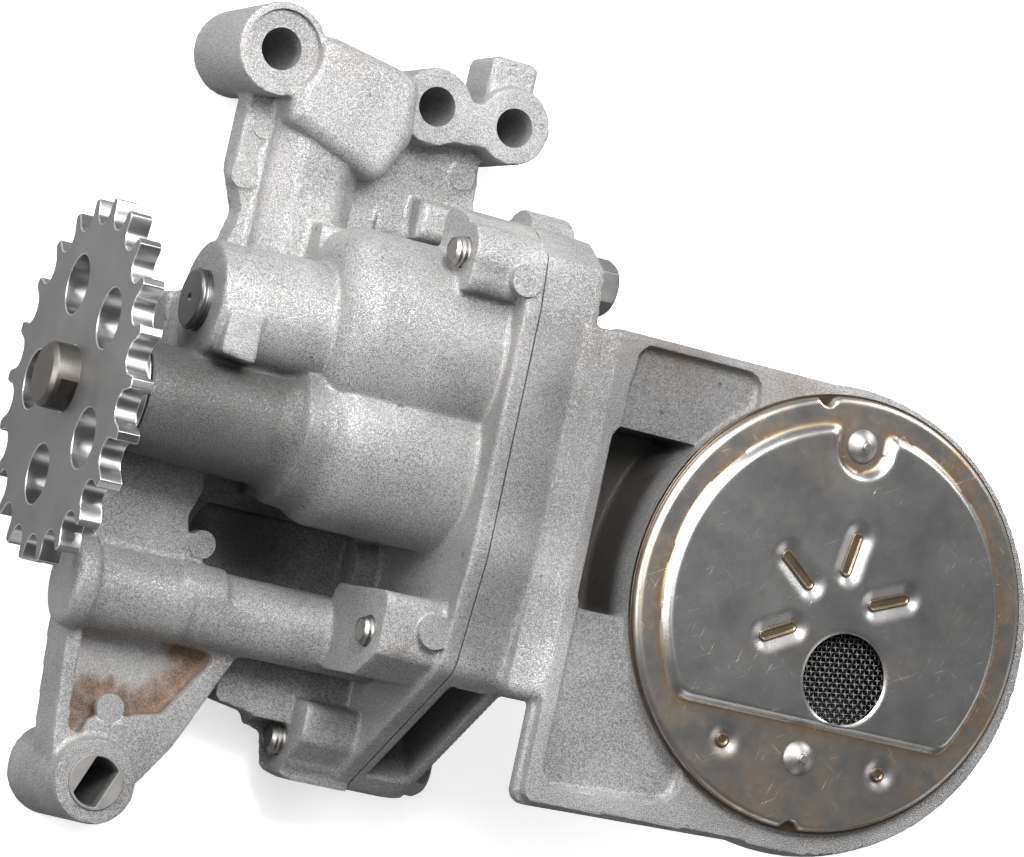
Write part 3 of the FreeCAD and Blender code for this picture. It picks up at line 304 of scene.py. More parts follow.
body_bores = [(*MAIN_BOLT, BELOW, THROUGH, 4.2, "z"),
              (*MAIN_BOLT, -11.2, 10.0, 7.8, "z"),
              (*LEFT_EAR, BELOW, THROUGH, 3.95, "z"),
              (*RIGHT_EAR, BELOW, THROUGH, 3.95, "z"),
              (*SLEEVE, BELOW, THROUGH, 5.52, "z"),
              (5.0, IDLER_Y, 0.0, 60.0, 6.05, "x"),
              (5.0, 0.0, 0.0, 60.0, 6.6, "x"),
              (CHAMBER_X, 0.0, 0.0, THROUGH, CHAMBER_R, "x"),
              (CHAMBER_X, IDLER_Y, 0.0, THROUGH, CHAMBER_R, "x"),
              (20.0, -36.6, -14.0, 80.0, 5.6, "x"),
              (48.0, 65.5, BELOW, 20.0, 6.0, "z"),
              (48.0, 72.5, -20.0, 30.0, 6.0, "y")]
body_bores += [(60.0, y, z, 30.0, 3.12, "x") for y, z, start in BOLTS]
body = cast_skin("pump_body", "body_casting", 1, body_plugs, body_bores)

# %% [markdown]
# ## The cover
# The cover carries the pan with the strainer's seat. Its only visible machined places
# are the joint face and the flat seat; the shaft ends run in it, so their bearings are
# bored clear again.

# %% Cover casting
cover_bores = [(80.0, 0.0, 0.0, 13.2, 6.6, "x"), (80.0, IDLER_Y, 0.0, 10.2, 6.2, "x")]
cover = cast_skin("pump_cover", "cover_casting", -1, [], cover_bores)

# %% [markdown]
# ## Ejector marks
# Round pins push the hot casting out of its die and leave flat discs on it, less than
# half a millimetre proud. The voxels are too coarse for their crisp rims, so each disc
# is a low cylinder with a bevelled rim, sunk into the skin.

# %% Discs on the casting
DISCS = [(34.9, 58.7, -19.0, 2.8), (32.9, 48.2, -19.0, 2.8), (78.4, 58.9, -19.0, 2.8),
         (38.4, -24.6, -12.5, 2.8), (27.9, -59.3, -14.5, 2.8), (78.4, 37.6, 23.05, 3.2),
         (76.9, -31.9, 19.0, 3.4)]
DISC_SUNK, DISC_PROUD = 2.0, 0.42


def disc(x, y, skin, radius):
    """A low disc on the skin, which lies at this height."""
    piece = bar(x, y, skin - DISC_SUNK, DISC_SUNK + DISC_PROUD, radius, "z", 64)
    return bevelled(piece, 0.16, angle=40)


ejector_marks = joined([disc(*place) for place in DISCS], "ejector_marks")
print("ejector marks:", len(DISCS))

# %% [markdown]
# ## Sprocket
# The teeth were ground, so their flanks shine, while the stamped face is dull. A narrow
# bevel catches the light along every edge.

# %% Bevelled sprocket
sprocket = bevelled(solid_copy("drive_sprocket", "chain_sprocket"), 0.22)
print("sprocket triangles:", triangles(sprocket))

# %% [markdown]
# ## Shafts, sleeve and ring
# Turned pieces need no new shape, only softer edges: the drive shaft, the pin of the
# idler gear, the sleeve in the slotted mount and the ring under the strainer's cap.

# %% Turned pieces
drive_shaft = bevelled(solid_copy("drive_shaft", "drive_shaft_turned"), 0.12, angle=25)
idler_pin = bevelled(solid_copy("idler_shaft", "idler_pin_turned"), 0.10, angle=25)
sleeve = bevelled(solid_copy("mount_sleeve", "slotted_sleeve"), 0.18)
ring = bevelled(solid_copy("strainer_ring", "strainer_ring_rounded"), 0.22, segments=3)
for piece in (drive_shaft, idler_pin, sleeve, ring):
    print(piece.name, "triangles:", triangles(piece))

# %% [markdown]
# ## Relief spring
# The relief valve's spring sits unseen between its piston and its seat. It is wound wire
# that shortens when the piston is pushed back; its copy keeps the solid's shape.

# %% Spring wire
spring = solid_copy("relief_spring", "relief_spring_wire")

# %% [markdown]
# ## Cover bolts
# The bolts' hexagon heads and shanks come from the solid. Their ends show a real thread
# where they come out of the body. A thread is a notch that climbs by one pitch each
# turn: a small zigzag profile is wound round the axis by the Screw modifier.

# %% Heads and shanks
SHANK_CUT = 70.0
heads = solid_copy("cover_bolts", "bolt_heads")
only(heads)
bpy.ops.object.mode_set(mode="EDIT")
bpy.ops.mesh.select_all(action="SELECT")
bpy.ops.mesh.bisect(plane_co=spot(SHANK_CUT, 0, 0), plane_no=(1, 0, 0),
                    clear_inner=True, use_fill=True)
heads = bevelled(heads, 0.3)
print("bolt heads:", triangles(heads))

# %% A threaded end
PITCH = 1.0
TURNS = 6
BOLT_END = 64.8
ROOT_R, CREST_R = 2.46, 3.0
THREAD = [(0.0, ROOT_R), (0.42, CREST_R), (0.55, CREST_R), (0.97, ROOT_R), (1.0, ROOT_R)]
CHAMFER_R, CHAMFER_SLOPE = 2.35, 0.9
LEAST_R = 2.3
TRIMMED = 0.75 * PITCH
SET_BACK = 0.8 * PITCH


def threaded_end(y, z):
    """The last millimetres of a bolt, with its thread and chamfer."""
    piece = line(len(THREAD), "thread")
    for vertex in piece.data.vertices:
        along, radius = THREAD[round(vertex.co.x / MM)]
        vertex.co = Vector((along, 0, radius)) * MM
    modify(piece, "SCREW", axis="X", angle=2 * math.pi, screw_offset=PITCH * MM,
           steps=48, render_steps=48, iterations=TURNS, use_merge_vertices=True,
           merge_threshold=0.02 * MM, use_normal_calculate=True)
    for vertex in piece.data.vertices:
        co = vertex.co
        reach = math.hypot(co.y, co.z)
        allowed = max(LEAST_R * MM, CHAMFER_R * MM + (co.x - PITCH * MM) * CHAMFER_SLOPE)
        if reach > allowed:
            vertex.co = (co.x, co.y * allowed / reach, co.z * allowed / reach)
        if vertex.co.x < TRIMMED * MM:
            vertex.co.x = TRIMMED * MM
    piece.data.transform(Matrix.Translation(spot(BOLT_END - SET_BACK, y, z)))
    core = bar(BOLT_END, y, z, TURNS * PITCH, ROOT_R, "x", 28)
    core = bevelled(core, 0.45, 3, 40)
    return joined([piece, core], "thread")


threads = joined([threaded_end(y, z) for y, z, start in BOLTS], "bolt_threads")
soften(threads, 25)
bolts = joined([threads, heads], "cover_bolt_set")
print("bolts:", triangles(bolts))

# %% [markdown]
# ## Strainer cap
# The cap is pressed from sheet: a rolled edge, a flat rim, a raised field with one
# straight side and a notch for the rivet, four hollows with a bar in each, two round
# hollows and the inlet hole. Its skin starts as a line that is spun into rings. The
# rings then run from the inlet's edge out to the rolled edge, so no cut is needed, and
# every point gets its height from the distance to the stamped outlines.

# %% Sizes of the cap
CAP = Vector((154.2, -11.8))
CAP_R = 42.9
CAP_TOP = 30.8
CAP_ROLL = 1.5
FIELD_R = 37.5
FIELD_CHORD = -22.4
FIELD_RISE, FIELD_SLOPE = 1.7, 1.7
FIELD_CORNER = 2.0
INLET = Vector((158.9, -23.7)) - CAP
INLET_R = 9.0
INLET_DROP, INLET_LIP = 0.35, 0.9
NOTCH = Vector((153.1, 21.8)) - CAP
NOTCH_R = 5.2
LONG_DIMPLES = [(141.4, -2.6, 147.2, -7.0), (155.8, 3.9, 154.8, -2.8),
                (162.4, -8.2, 168.8, -5.6), (140.0, -18.7, 145.4, -15.9)]
ROUND_DIMPLES = [(136.5, -40.3), (171.9, -40.5)]
DIMPLE_REACH = 4.0
LONG_DEPTH, ROUND_DEPTH = 1.1, 1.0
RIM_NOTCHES = [(143.6, 29.9), (154.8, -55.0)]
RIM_NOTCH_R = 1.8
RIM_FROM = 38.5
print("cap:", 2 * CAP_R, "mm wide,", len(LONG_DIMPLES) + len(ROUND_DIMPLES), "hollows")

# %% Height of the pressed sheet


def soft_min(a, b, k):
    """The smaller of two distances, with a rounded corner of size k."""
    h = np.clip(0.5 + 0.5 * (b - a) / k, 0, 1)
    return b * (1 - h) + a * h - k * h * (1 - h)


def to_segment(u, v, x0, y0, x1, y1):
    """Distance from points to a line between two places of the drawing."""
    ax, ay, bx, by = x0 - CAP.x, y0 - CAP.y, x1 - CAP.x, y1 - CAP.y
    dx, dy = bx - ax, by - ay
    t = np.clip(((u - ax) * dx + (v - ay) * dy) / (dx * dx + dy * dy), 0, 1)
    return np.hypot(u - ax - t * dx, v - ay - t * dy)


def field_distance(u, v):
    """How far inside the raised field a point lies."""
    inside = FIELD_R - np.hypot(u, v)
    inside = soft_min(inside, v - FIELD_CHORD, FIELD_CORNER)
    notch = np.where(v > NOTCH.y, np.abs(u - NOTCH.x), np.hypot(u - NOTCH.x, v - NOTCH.y))
    return soft_min(inside, notch - NOTCH_R, FIELD_CORNER)


def hollow(distance, reach, depth):
    """A smooth round-bottomed hollow."""
    t = np.clip(1 - distance / reach, 0, 1)
    return depth * t * t * (3 - 2 * t)


def cap_height(u, v):
    """Height over the flat rim, in millimetres."""
    r = np.hypot(u, v)
    over = np.clip(r - (CAP_R - CAP_ROLL), 0, CAP_ROLL)
    height = -(CAP_ROLL - np.sqrt(np.maximum(CAP_ROLL ** 2 - over ** 2, 0)))
    inside = np.clip(field_distance(u, v) / FIELD_SLOPE, 0, 1)
    height = height + FIELD_RISE * np.sin(inside * math.pi / 2)
    for ends in LONG_DIMPLES:
        height = height - hollow(to_segment(u, v, *ends), DIMPLE_REACH, LONG_DEPTH)
    for x, y in ROUND_DIMPLES:
        away = np.hypot(u + CAP.x - x, v + CAP.y - y)
        height = height - hollow(away, DIMPLE_REACH, ROUND_DEPTH)
    inlet = np.hypot(u - INLET.x, v - INLET.y) - INLET_R
    return height - INLET_DROP * np.clip(1 - inlet / INLET_LIP, 0, 1) ** 2


def notched(u, v):
    """Pull the rim in where it has its two small notches."""
    share = np.clip((np.hypot(u, v) - RIM_FROM) / (CAP_R - RIM_FROM), 0, 1)
    scale = np.ones_like(u)
    for x, y in RIM_NOTCHES:
        toward = Vector((x, y)) - CAP
        reach = toward.length
        along = (u * toward.x + v * toward.y) / reach
        across = (u * toward.y - v * toward.x) / reach
        cut = np.sqrt(np.maximum(RIM_NOTCH_R ** 2 - across ** 2, 0)) + CAP_R - reach
        cut = np.where(along > 0, np.maximum(cut, 0), 0)
        scale = scale - share * cut / CAP_R
    return u * scale, v * scale


print("height at the cap's middle:", round(float(cap_height(0.0, 0.0)), 2), "mm")

# %% Spinning the skin
RINGS = 104
AROUND = 360
ROLL_RINGS = 14
SPIN_R = 10
SHEET = 0.8


def ring_place(ring_number, angle):
    """Where a point of a ring lies, from the inlet's edge out to the rolled edge."""
    plain = RINGS - ROLL_RINGS
    t = np.clip(ring_number / plain, 0, 1)
    centre_u = INLET.x * (1 - t)
    centre_v = INLET.y * (1 - t)
    radius = INLET_R * (1 - t) + (CAP_R - CAP_ROLL) * t
    turn = np.clip((ring_number - plain) / ROLL_RINGS, 0, 1) * math.pi / 2
    radius = radius + CAP_ROLL * np.sin(turn)
    return centre_u + radius * np.cos(angle), centre_v + radius * np.sin(angle)


cap = line(RINGS + 1, "strainer_cap_pressed")
for vertex in cap.data.vertices:
    vertex.co.x += SPIN_R * MM
bpy.ops.object.mode_set(mode="EDIT")
bpy.ops.mesh.select_all(action="SELECT")
bpy.ops.mesh.spin(steps=AROUND, angle=2 * math.pi, center=(0, 0, 0), axis=(0, 0, 1))
bpy.ops.mesh.select_all(action="SELECT")
bpy.ops.mesh.remove_doubles(threshold=0.001 * MM)
bpy.ops.object.mode_set(mode="OBJECT")
points = np.empty(len(cap.data.vertices) * 3)
cap.data.vertices.foreach_get("co", points)
points = points.reshape(-1, 3)
number = np.round(np.hypot(points[:, 0], points[:, 1]) / MM - SPIN_R)
u, v = ring_place(number, np.arctan2(points[:, 1], points[:, 0]))
height = CAP_TOP + cap_height(u, v)
u_placed, v_placed = notched(u, v)
placed = np.stack([u_placed + CAP.x, v_placed + CAP.y, height], 1)
placed = (placed + np.array(SHAFT_CENTRE)) * MM
cap.data.vertices.foreach_set("co", placed.ravel())
crease = cap.data.attributes.new("crease", "FLOAT", "POINT")
crease.data.foreach_set("value", field_distance(u, v).astype(np.float32))
cap.data.update()
only(cap)
bpy.ops.object.mode_set(mode="EDIT")
bpy.ops.mesh.select_all(action="SELECT")
bpy.ops.mesh.normals_make_consistent(inside=False)
bpy.ops.object.mode_set(mode="OBJECT")
if sum(face.normal.z for face in cap.data.polygons) < 0:
    cap.data.flip_normals()
modify(cap, "SOLIDIFY", thickness=SHEET * MM, offset=-1.0, use_even_offset=True)
soften(cap, 50)
print("cap:", triangles(cap))

# %% [markdown]
# ## Bars and nubs in the hollows
# The punch left a narrow bar with a rim in the middle of each hollow. One bar starts as
# a short cylinder whose halves are moved apart, and its top is inset and pushed down.
# The same steps with no stretch give the round nubs.

# %% One punched bar
MARK_DEPTH = 1.6
MARK_SUNK = 0.30
RIM_SHARE, WALL_SHARE = 0.34, 0.14
BAR_HALF, BAR_RISE = 1.15, 0.42
NUB_HALF, NUB_RISE = 1.35, 0.5
BAR_FLOOR = CAP_TOP + FIELD_RISE - 1.0
NUB_FLOOR = CAP_TOP - 0.8


def punched(x0, y0, x1, y1, half, base, rise):
    """A low bar with round ends, a bright rim and a sunk middle."""
    length = math.hypot(x1 - x0, y1 - y0)
    bpy.ops.mesh.primitive_cylinder_add(vertices=32, radius=half * MM,
                                        depth=MARK_DEPTH * MM)
    piece = bpy.context.active_object
    only(piece)
    for vertex in piece.data.vertices:
        if vertex.co.x > 1e-6:
            vertex.co.x += length * MM
        elif vertex.co.x > -1e-6:
            vertex.co.x += length * MM / 2
    bpy.ops.object.mode_set(mode="EDIT")
    bpy.ops.mesh.select_all(action="DESELECT")
    bpy.ops.object.mode_set(mode="OBJECT")
    for face in piece.data.polygons:
        face.select = face.normal.z > 0.9
    bpy.ops.object.mode_set(mode="EDIT")
    bpy.ops.mesh.select_mode(type="FACE")
    bpy.ops.mesh.inset(thickness=RIM_SHARE * half * MM)
    bpy.ops.mesh.inset(thickness=WALL_SHARE * half * MM)
    bpy.ops.transform.translate(value=(0, 0, -MARK_SUNK * MM))
    bpy.ops.object.mode_set(mode="OBJECT")
    bevelled(piece, 0.1, angle=30)
    turn = Matrix.Rotation(math.atan2(y1 - y0, x1 - x0), 4, "Z")
    middle = spot(x0, y0, base + rise - MARK_DEPTH / 2)
    piece.data.transform(Matrix.Translation(middle) @ turn)
    return piece


bars = [punched(*ends, BAR_HALF, BAR_FLOOR, BAR_RISE) for ends in LONG_DIMPLES]
bars += [punched(x, y, x + 0.01, y, NUB_HALF, NUB_FLOOR, NUB_RISE) for x, y in ROUND_DIMPLES]
cap_marks = joined(bars, "strainer_cap_marks")
print("bars and nubs:", len(bars))

# %% [markdown]
# ## Woven screen
# Behind the inlet lies black woven wire. One wire is a thin tube that waves up and down
# once for every two wires it crosses. Its neighbours wave the other way, and a second
# set lies across them. Only the patch that shows is woven; the rest is a plain sheet.

# %% One wire
WEAVE = 1.0
WIRE_R = 0.2
WAVE = 0.95 * WIRE_R
WIRES = 21
STEPS_PER_WIRE = 6
SCREEN_Z = 29.55
LAY_ANGLE = 8
PATCH_R = 10.2


def wire(number, across):
    """One wire of the patch, along x, or along y if it lies across."""
    steps = WIRES * STEPS_PER_WIRE
    span = WIRES * WEAVE
    bpy.ops.mesh.primitive_cylinder_add(vertices=6, radius=WIRE_R * MM, depth=span * MM,
                                        rotation=(0, math.pi / 2, 0), end_fill_type="NOTHING")
    piece = bpy.context.active_object
    only(piece)
    bpy.ops.object.transform_apply(location=True, rotation=True, scale=True)
    bpy.ops.object.mode_set(mode="EDIT")
    bpy.ops.mesh.select_all(action="DESELECT")
    bpy.ops.object.mode_set(mode="OBJECT")
    mesh = piece.data
    for edge in mesh.edges:
        a, b = (mesh.vertices[i].co for i in edge.vertices)
        edge.select = abs(a.x - b.x) > 1e-6
    bpy.ops.object.mode_set(mode="EDIT")
    bpy.ops.mesh.select_mode(type="EDGE")
    bpy.ops.mesh.subdivide(number_cuts=steps - 1)
    bpy.ops.object.mode_set(mode="OBJECT")
    side = 1 if (number + across) % 2 else -1
    for vertex in mesh.vertices:
        phase = math.pi * vertex.co.x / (WEAVE * MM)
        vertex.co.z += side * WAVE * MM * math.sin(phase)
    return piece


# %% Weaving
outermost = -(WIRES - 1) / 2
first = [wire(k, 0) for k in (0, 1)]
second = [wire(k, 1) for k in (0, 1)]
patch = []
for k in range(WIRES):
    for across, pair in ((0, first), (1, second)):
        copy = bpy.data.objects.new("wire", pair[k % 2].data.copy())
        bpy.context.scene.collection.objects.link(copy)
        shift = Matrix.Translation(Vector((0, (outermost + k) * WEAVE * MM, 0)))
        if across:
            shift = Matrix.Rotation(math.pi / 2, 4, "Z") @ shift
        copy.data.transform(shift)
        patch.append(copy)
for piece in first + second:
    bpy.data.objects.remove(piece)
screen = joined(patch, "strainer_screen_woven")
lay = Matrix.Rotation(math.radians(LAY_ANGLE), 4, "Z")
middle = spot(CAP.x + INLET.x, CAP.y + INLET.y, SCREEN_Z)
screen.data.transform(Matrix.Translation(middle) @ lay)
soften(screen, 70)
print("woven screen:", triangles(screen))

# %% Sheet round the patch
sheet = solid_copy("strainer_screen", "screen_sheet")
cut_away(sheet, bar(CAP.x + INLET.x, CAP.y + INLET.y, 20, 20, PATCH_R))
soften(sheet, 30)
screen = joined([sheet, screen], "strainer_screen_set")
print("screen set:", triangles(screen))

# %% [markdown]
# ## Rivets
# Two rivets hold cap, screen and ring. Each head is a low dome whose middle was spun
# into a small nub, so it is the solid with softer edges.

# %% Rivet heads
rivets = bevelled(solid_copy("strainer_rivets", "strainer_rivet_heads"), 0.25, 3, 30)
print("rivets:", triangles(rivets))

# %% [markdown]
# ## Finishes as sums
# A finish is a network of nodes, and most of it is arithmetic: this mask times that
# noise, one minus another. Wiring such sums by hand hides what they mean. The class
# below wraps a socket so that ordinary Python sums add the Math nodes, and the next
# one is the finish itself, with one method that adds any other node. The finish knows
# the drawing's x, y and z at each point, so stains and painted shade can be put in their
# places.

# %% A socket that can be added and multiplied


class Term:
    """A node's output that takes part in sums."""

    def __init__(self, finish, socket):
        self.finish = finish
        self.socket = socket

    def _sum(self, operation, first, second):
        node = self.finish.node("Math", {"operation": operation}, {0: first, 1: second})
        return Term(self.finish, node.outputs[0])

    def __add__(self, other):
        return self._sum("ADD", self, other)

    __radd__ = __add__

    def __sub__(self, other):
        return self._sum("SUBTRACT", self, other)

    def __rsub__(self, other):
        return self._sum("SUBTRACT", other, self)

    def __mul__(self, other):
        return self._sum("MULTIPLY", self, other)

    __rmul__ = __mul__

    def __pow__(self, other):
        return self._sum("POWER", self, other)

    def larger(self, other):
        """The larger of the two at each point."""
        return self._sum("MAXIMUM", self, other)


# %% A finish


class Finish:
    """A material with its shader; sums and nodes are added to it."""

    def __init__(self, name, **sockets):
        self.material = bpy.data.materials.new(name)
        self.material.use_nodes = True
        self.tree = self.material.node_tree
        self.shader = self.tree.nodes["Principled BSDF"]
        for socket, value in sockets.items():
            self.shader.inputs[socket.replace("_", " ")].default_value = value
        place = self.node("TexCoord").outputs["Object"]
        self.point = Term(self, place)
        axes = self.node("SeparateXYZ", {}, {0: self.point})
        self.x = Term(self, axes.outputs[0]) * 1000 - SHAFT_CENTRE.x
        self.y = Term(self, axes.outputs[1]) * 1000 - SHAFT_CENTRE.y
        self.z = Term(self, axes.outputs[2]) * 1000 - SHAFT_CENTRE.z

    def node(self, kind, settings=None, sockets=None):
        """Add a node: its type, its settings, then the values or links of its sockets."""
        node = self.tree.nodes.new("ShaderNode" + kind)
        for name, value in (settings or {}).items():
            setattr(node, name, value)
        for name, value in (sockets or {}).items():
            if isinstance(value, Term):
                self.tree.links.new(value.socket, node.inputs[name])
            else:
                node.inputs[name].default_value = value
        return node

    def noise(self, size, detail=2.0, roughness=0.5, point=None):
        """Soft noise from 0 to 1, with features about this many millimetres wide."""
        node = self.node("TexNoise", {}, {"Vector": point or self.point,
                                          "Scale": 1000 / size, "Detail": detail,
                                          "Roughness": roughness})
        return Term(self, node.outputs[0])

    def step(self, value, low, high):
        """0 below low, 1 above high, and a smooth rise between."""
        node = self.node("MapRange", {"interpolation_type": "SMOOTHSTEP"},
                         {"Value": value, "From Min": low, "From Max": high})
        return Term(self, node.outputs[0])

    def between(self, value, low, high, rise=1.0, fall=1.0):
        """1 between low and high, with soft ends that lie inside them."""
        return self.step(value, low, low + rise) * self.step(value, high, high - fall)

    def mix(self, share, first, second):
        """A colour between two, by share."""
        node = self.node("Mix", {"data_type": "RGBA"}, {0: share, 6: first, 7: second})
        return Term(self, node.outputs[2])

    def distance(self, x, y, z):
        """Distance in millimetres from a place of the drawing."""
        node = self.node("VectorMath", {"operation": "DISTANCE"},
                         {0: self.point, 1: spot(x, y, z)})
        return Term(self, node.outputs["Value"]) * 1000

    def feed(self, name, value):
        """Link a value to a socket of the shader."""
        self.tree.links.new(value.socket, self.shader.inputs[name])

    def bump(self, height, depth):
        """Relief from a height of 0 to 1 that is depth millimetres deep."""
        node = self.node("Bump", {}, {"Height": height, "Distance": depth * MM,
                                      "Strength": 1.0})
        self.feed("Normal", Term(self, node.outputs[0]))
        print("finish:", self.material.name, "with", len(self.tree.nodes), "nodes")


def grey(value, warmth=0.0):
    """A neutral colour, warmer above zero."""
    return (value * (1 + warmth), value, value * (1 - warmth), 1)


# %% [markdown]
# ## Cast aluminium
# The castings were blasted with fine shot. That leaves a grey with tiny bright and dark
# specks, a relief finer than half a millimetre, a few pits and faint clouds where the
# metal froze first. Painted shade darkens the colour round the shaft, over the pan and on
# the flange beside it, where shadow and falling light would darken them. Each patch of
# painted shade fades out with the distance from its place.

# %% Cast finish
cast = Finish("cast_aluminium", Metallic=0.7)
speck = cast.noise(0.26, 2.0, 0.75)
grain = cast.noise(0.7, 2.0, 0.6)
cloud = cast.noise(14.0, 3.0, 0.5)
sharp = cast.step(speck, 0.40, 0.60)
shade = sharp * 0.62 + cast.step(cloud, 0.3, 0.7) * 0.18 + cast.step(grain, 0.3, 0.7) * 0.2
colour = cast.mix(shade, grey(0.115, 0.004), grey(0.435, 0.012))
pits = cast.step(cast.noise(2.6, 2.0, 0.6), 0.715, 0.745) * 0.55
colour = cast.mix(pits, colour, grey(0.03, 0.05))
PAN, FLANGE = (108.0, 10.0, 26.0), (88.0, -22.0, 20.0)
from_axis = (cast.y ** 2 + cast.z ** 2) ** 0.5
# Painted shade: darker colour round the shaft, over the pan and on the flange stands in for
# shadow and falling light.
painted_shade = cast.step(from_axis + cloud * 4, 22.0, 13.0) * cast.step(cast.x, 56.0, 44.0) * 0.72
painted_shade = painted_shade.larger(cast.step(cast.distance(*PAN) + cloud * 8, 50.0, 18.0) * 0.52)
painted_shade = painted_shade.larger(cast.step(cast.distance(*FLANGE) + cloud * 6, 22.0, 6.0) * 0.45)
colour = cast.mix(painted_shade, colour, grey(0.03, 0.04))
print("casting so far:", len(cast.tree.nodes), "nodes")

# %% [markdown]
# ## Dried oil and painted shade
# Oil has dried to a yellow-brown crust along the wall of the recess by the slotted
# mount and to a faint tint in a few corners. The recess floor is mixed towards a lighter
# grey as painted light. The deepest corners, the valley between the bosses, the cavity by
# the valve tube and the deep pocket under the pan are painted black as painted shade.
# Every stain and every patch of painted shade is a soft ball round a place of the
# drawing, broken by noise, so it needs no texture map, and the crust is a chain of such
# balls that is kept inside the recess.

# %% Places of the stains and the painted shade
RECESS_FLOOR = -17.6
RECESS_X, RECESS_Y, RECESS_Z = (18.2, 49.0), (-68.5, -43.0), (-19.6, -14.6)
CRUST = [(20.6, -63.4, 4.4), (21.4, -58.8, 3.8), (24.2, -56.2, 3.4), (24.4, -60.4, 3.2),
         (27.6, -55.8, 2.6), (30.2, -56.6, 2.8), (31.6, -59.0, 3.6), (35.0, -57.6, 4.4),
         (38.8, -56.2, 5.2), (42.0, -52.0, 4.8), (44.0, -47.6, 4.8), (40.5, -45.6, 3.4)]
TINTS = [(44.0, 76.0, -10.0, 9.0, 0.30), (78.0, -38.0, 8.0, 12.0, 0.28),
         (112.0, 32.0, 26.0, 13.0, 0.42), (137.0, 34.0, 28.0, 13.0, 0.50),
         (96.0, 30.0, 26.0, 9.0, 0.25), (71.5, -37.4, 17.0, 3.2, 0.55)]
# Places, reaches and strengths of the painted shade: dark spots where shadow falls.
PAINTED_SHADE_SPOTS = [(30.0, 10.4, 3.0, 6.5, 0.8), (42.0, 10.4, 4.0, 5.5, 0.7),
        (52.0, -22.0, -22.0, 15.0, 0.8), (40.0, -24.0, -24.0, 12.0, 0.8),
        (71.6, 33.6, 20.5, 4.5, 0.45), (25.6, -61.0, RECESS_FLOOR, 1.6, 0.6)]
POCKET = (111.0, -9.0, 14.0)
ragged = cast.noise(3.2, 4.0, 0.6)
# The count takes in the painted shade spots and the pocket's painted shade.
print("stains:", len(CRUST) + len(TINTS) + len(PAINTED_SHADE_SPOTS) + 1)

# %% Stains and painted shade


def ball(place, raggedness, outer, inner):
    """1 near a place of the drawing, fading between two distances with a ragged edge."""
    return cast.step(cast.distance(*place) + ragged * raggedness, outer, inner)


def largest(masks):
    """The largest of several masks at each point."""
    whole = masks[0]
    for mask in masks[1:]:
        whole = whole.larger(mask)
    return whole


in_recess = cast.between(cast.z, *RECESS_Z) * cast.between(cast.x, *RECESS_X, 0.6, 2.0)
in_recess = in_recess * cast.between(cast.y, *RECESS_Y)
chain = [ball((x, y, RECESS_FLOOR), 4, reach * 1.6 + 2.0, reach * 0.3 + 1.6)
         for x, y, reach in CRUST]
rust = in_recess * largest(chain)
for *place, reach, amount in TINTS:
    rust = rust + ball(place, reach, reach * 1.6, reach * 0.5) * amount
rust = cast.step(rust, 0.0, 1.1) * (1 - sharp * 0.22)
crust = cast.mix(cast.noise(1.6, 3.0, 0.6), (0.022, 0.010, 0.004, 1), (0.19, 0.095, 0.036, 1))
# Painted light: the recess floor is mixed towards a lighter grey.
colour = cast.mix(in_recess * 0.28, colour, grey(0.55, 0.02))
colour = cast.mix(rust, colour, crust)
# Painted shade: dark spots in the deepest corners, the valley between the bosses, the cavity
# by the valve tube and the pocket under the pan stand in for shadow, and they also make the
# metal less metallic there.
painted_black_shade = largest([ball(place, 3, reach + 3.5, reach * 0.4) * amount
                for *place, reach, amount in PAINTED_SHADE_SPOTS])
pocket_shade = ball(POCKET, 3, 30.0, 18.0) * cast.between(cast.z, 11.0, 24.0, 0.8, 4.0)
painted_black_shade = painted_black_shade.larger(pocket_shade * 0.98)
colour = cast.mix(painted_black_shade, colour, grey(0.016, 0.15))
cast.feed("Base Color", colour)
cast.feed("Metallic", (0.7 - rust * 0.6) * (1 - painted_black_shade * 0.8))
cast.feed("Roughness", speck * 0.16 + 0.42 + rust * 0.2)
cast.bump(sharp * 0.75 + grain * 0.25, 0.10)

# %% [markdown]
# ## Turned and ground steel
# A lathe leaves fine rings, so the finish of a shaft end depends on the distance from
# its axis, and its outside has rings along its length. Both patterns come from one
# sine of that distance, which shapes the relief and shows faintly in the colour.

# %% Turned finish
RING_PACE = 9.0


def turned_finish(name, dark, light, y, z, roughness):
    """Steel with fine rings round an axis along the shaft, at y and z of the drawing."""
    steel = Finish(name, Metallic=1.0)
    across = ((steel.y - y) ** 2 + (steel.z - z) ** 2) ** 0.5
    rings = steel.node("Math", {"operation": "SINE"}, {0: (across + steel.x) * RING_PACE})
    rings = Term(steel, rings.outputs[0]) * 0.5 + 0.5
    cloud = steel.noise(3.0, 4.0, 0.6)
    shade = rings * 0.10 + cloud * 0.90
    steel.feed("Base Color", steel.mix(shade, dark, light))
    steel.feed("Roughness", cloud * 0.16 + roughness)
    steel.bump(rings * 0.25 + steel.noise(0.3, 2.0) * 0.75, 0.010)
    return steel


FAR_AWAY = 500
shaft_steel = turned_finish("turned_steel", grey(0.065, 0.12), grey(0.17, 0.06), 0, 0, 0.36)
pin_steel = turned_finish("pin_steel", grey(0.07, 0.01), grey(0.20, 0.01), IDLER_Y, 0, 0.30)
sleeve_steel = turned_finish("sleeve_steel", grey(0.17, 0.02), grey(0.34, 0.02), FAR_AWAY, 0,
                             0.55)

# %% [markdown]
# ## Sprocket steel
# The stamped face is a dull, almost even dark grey with faint clouds and hairline
# scratches. The flanks were ground and burnished by the chain, so they are nearly a
# mirror, with faint lines along the shaft.

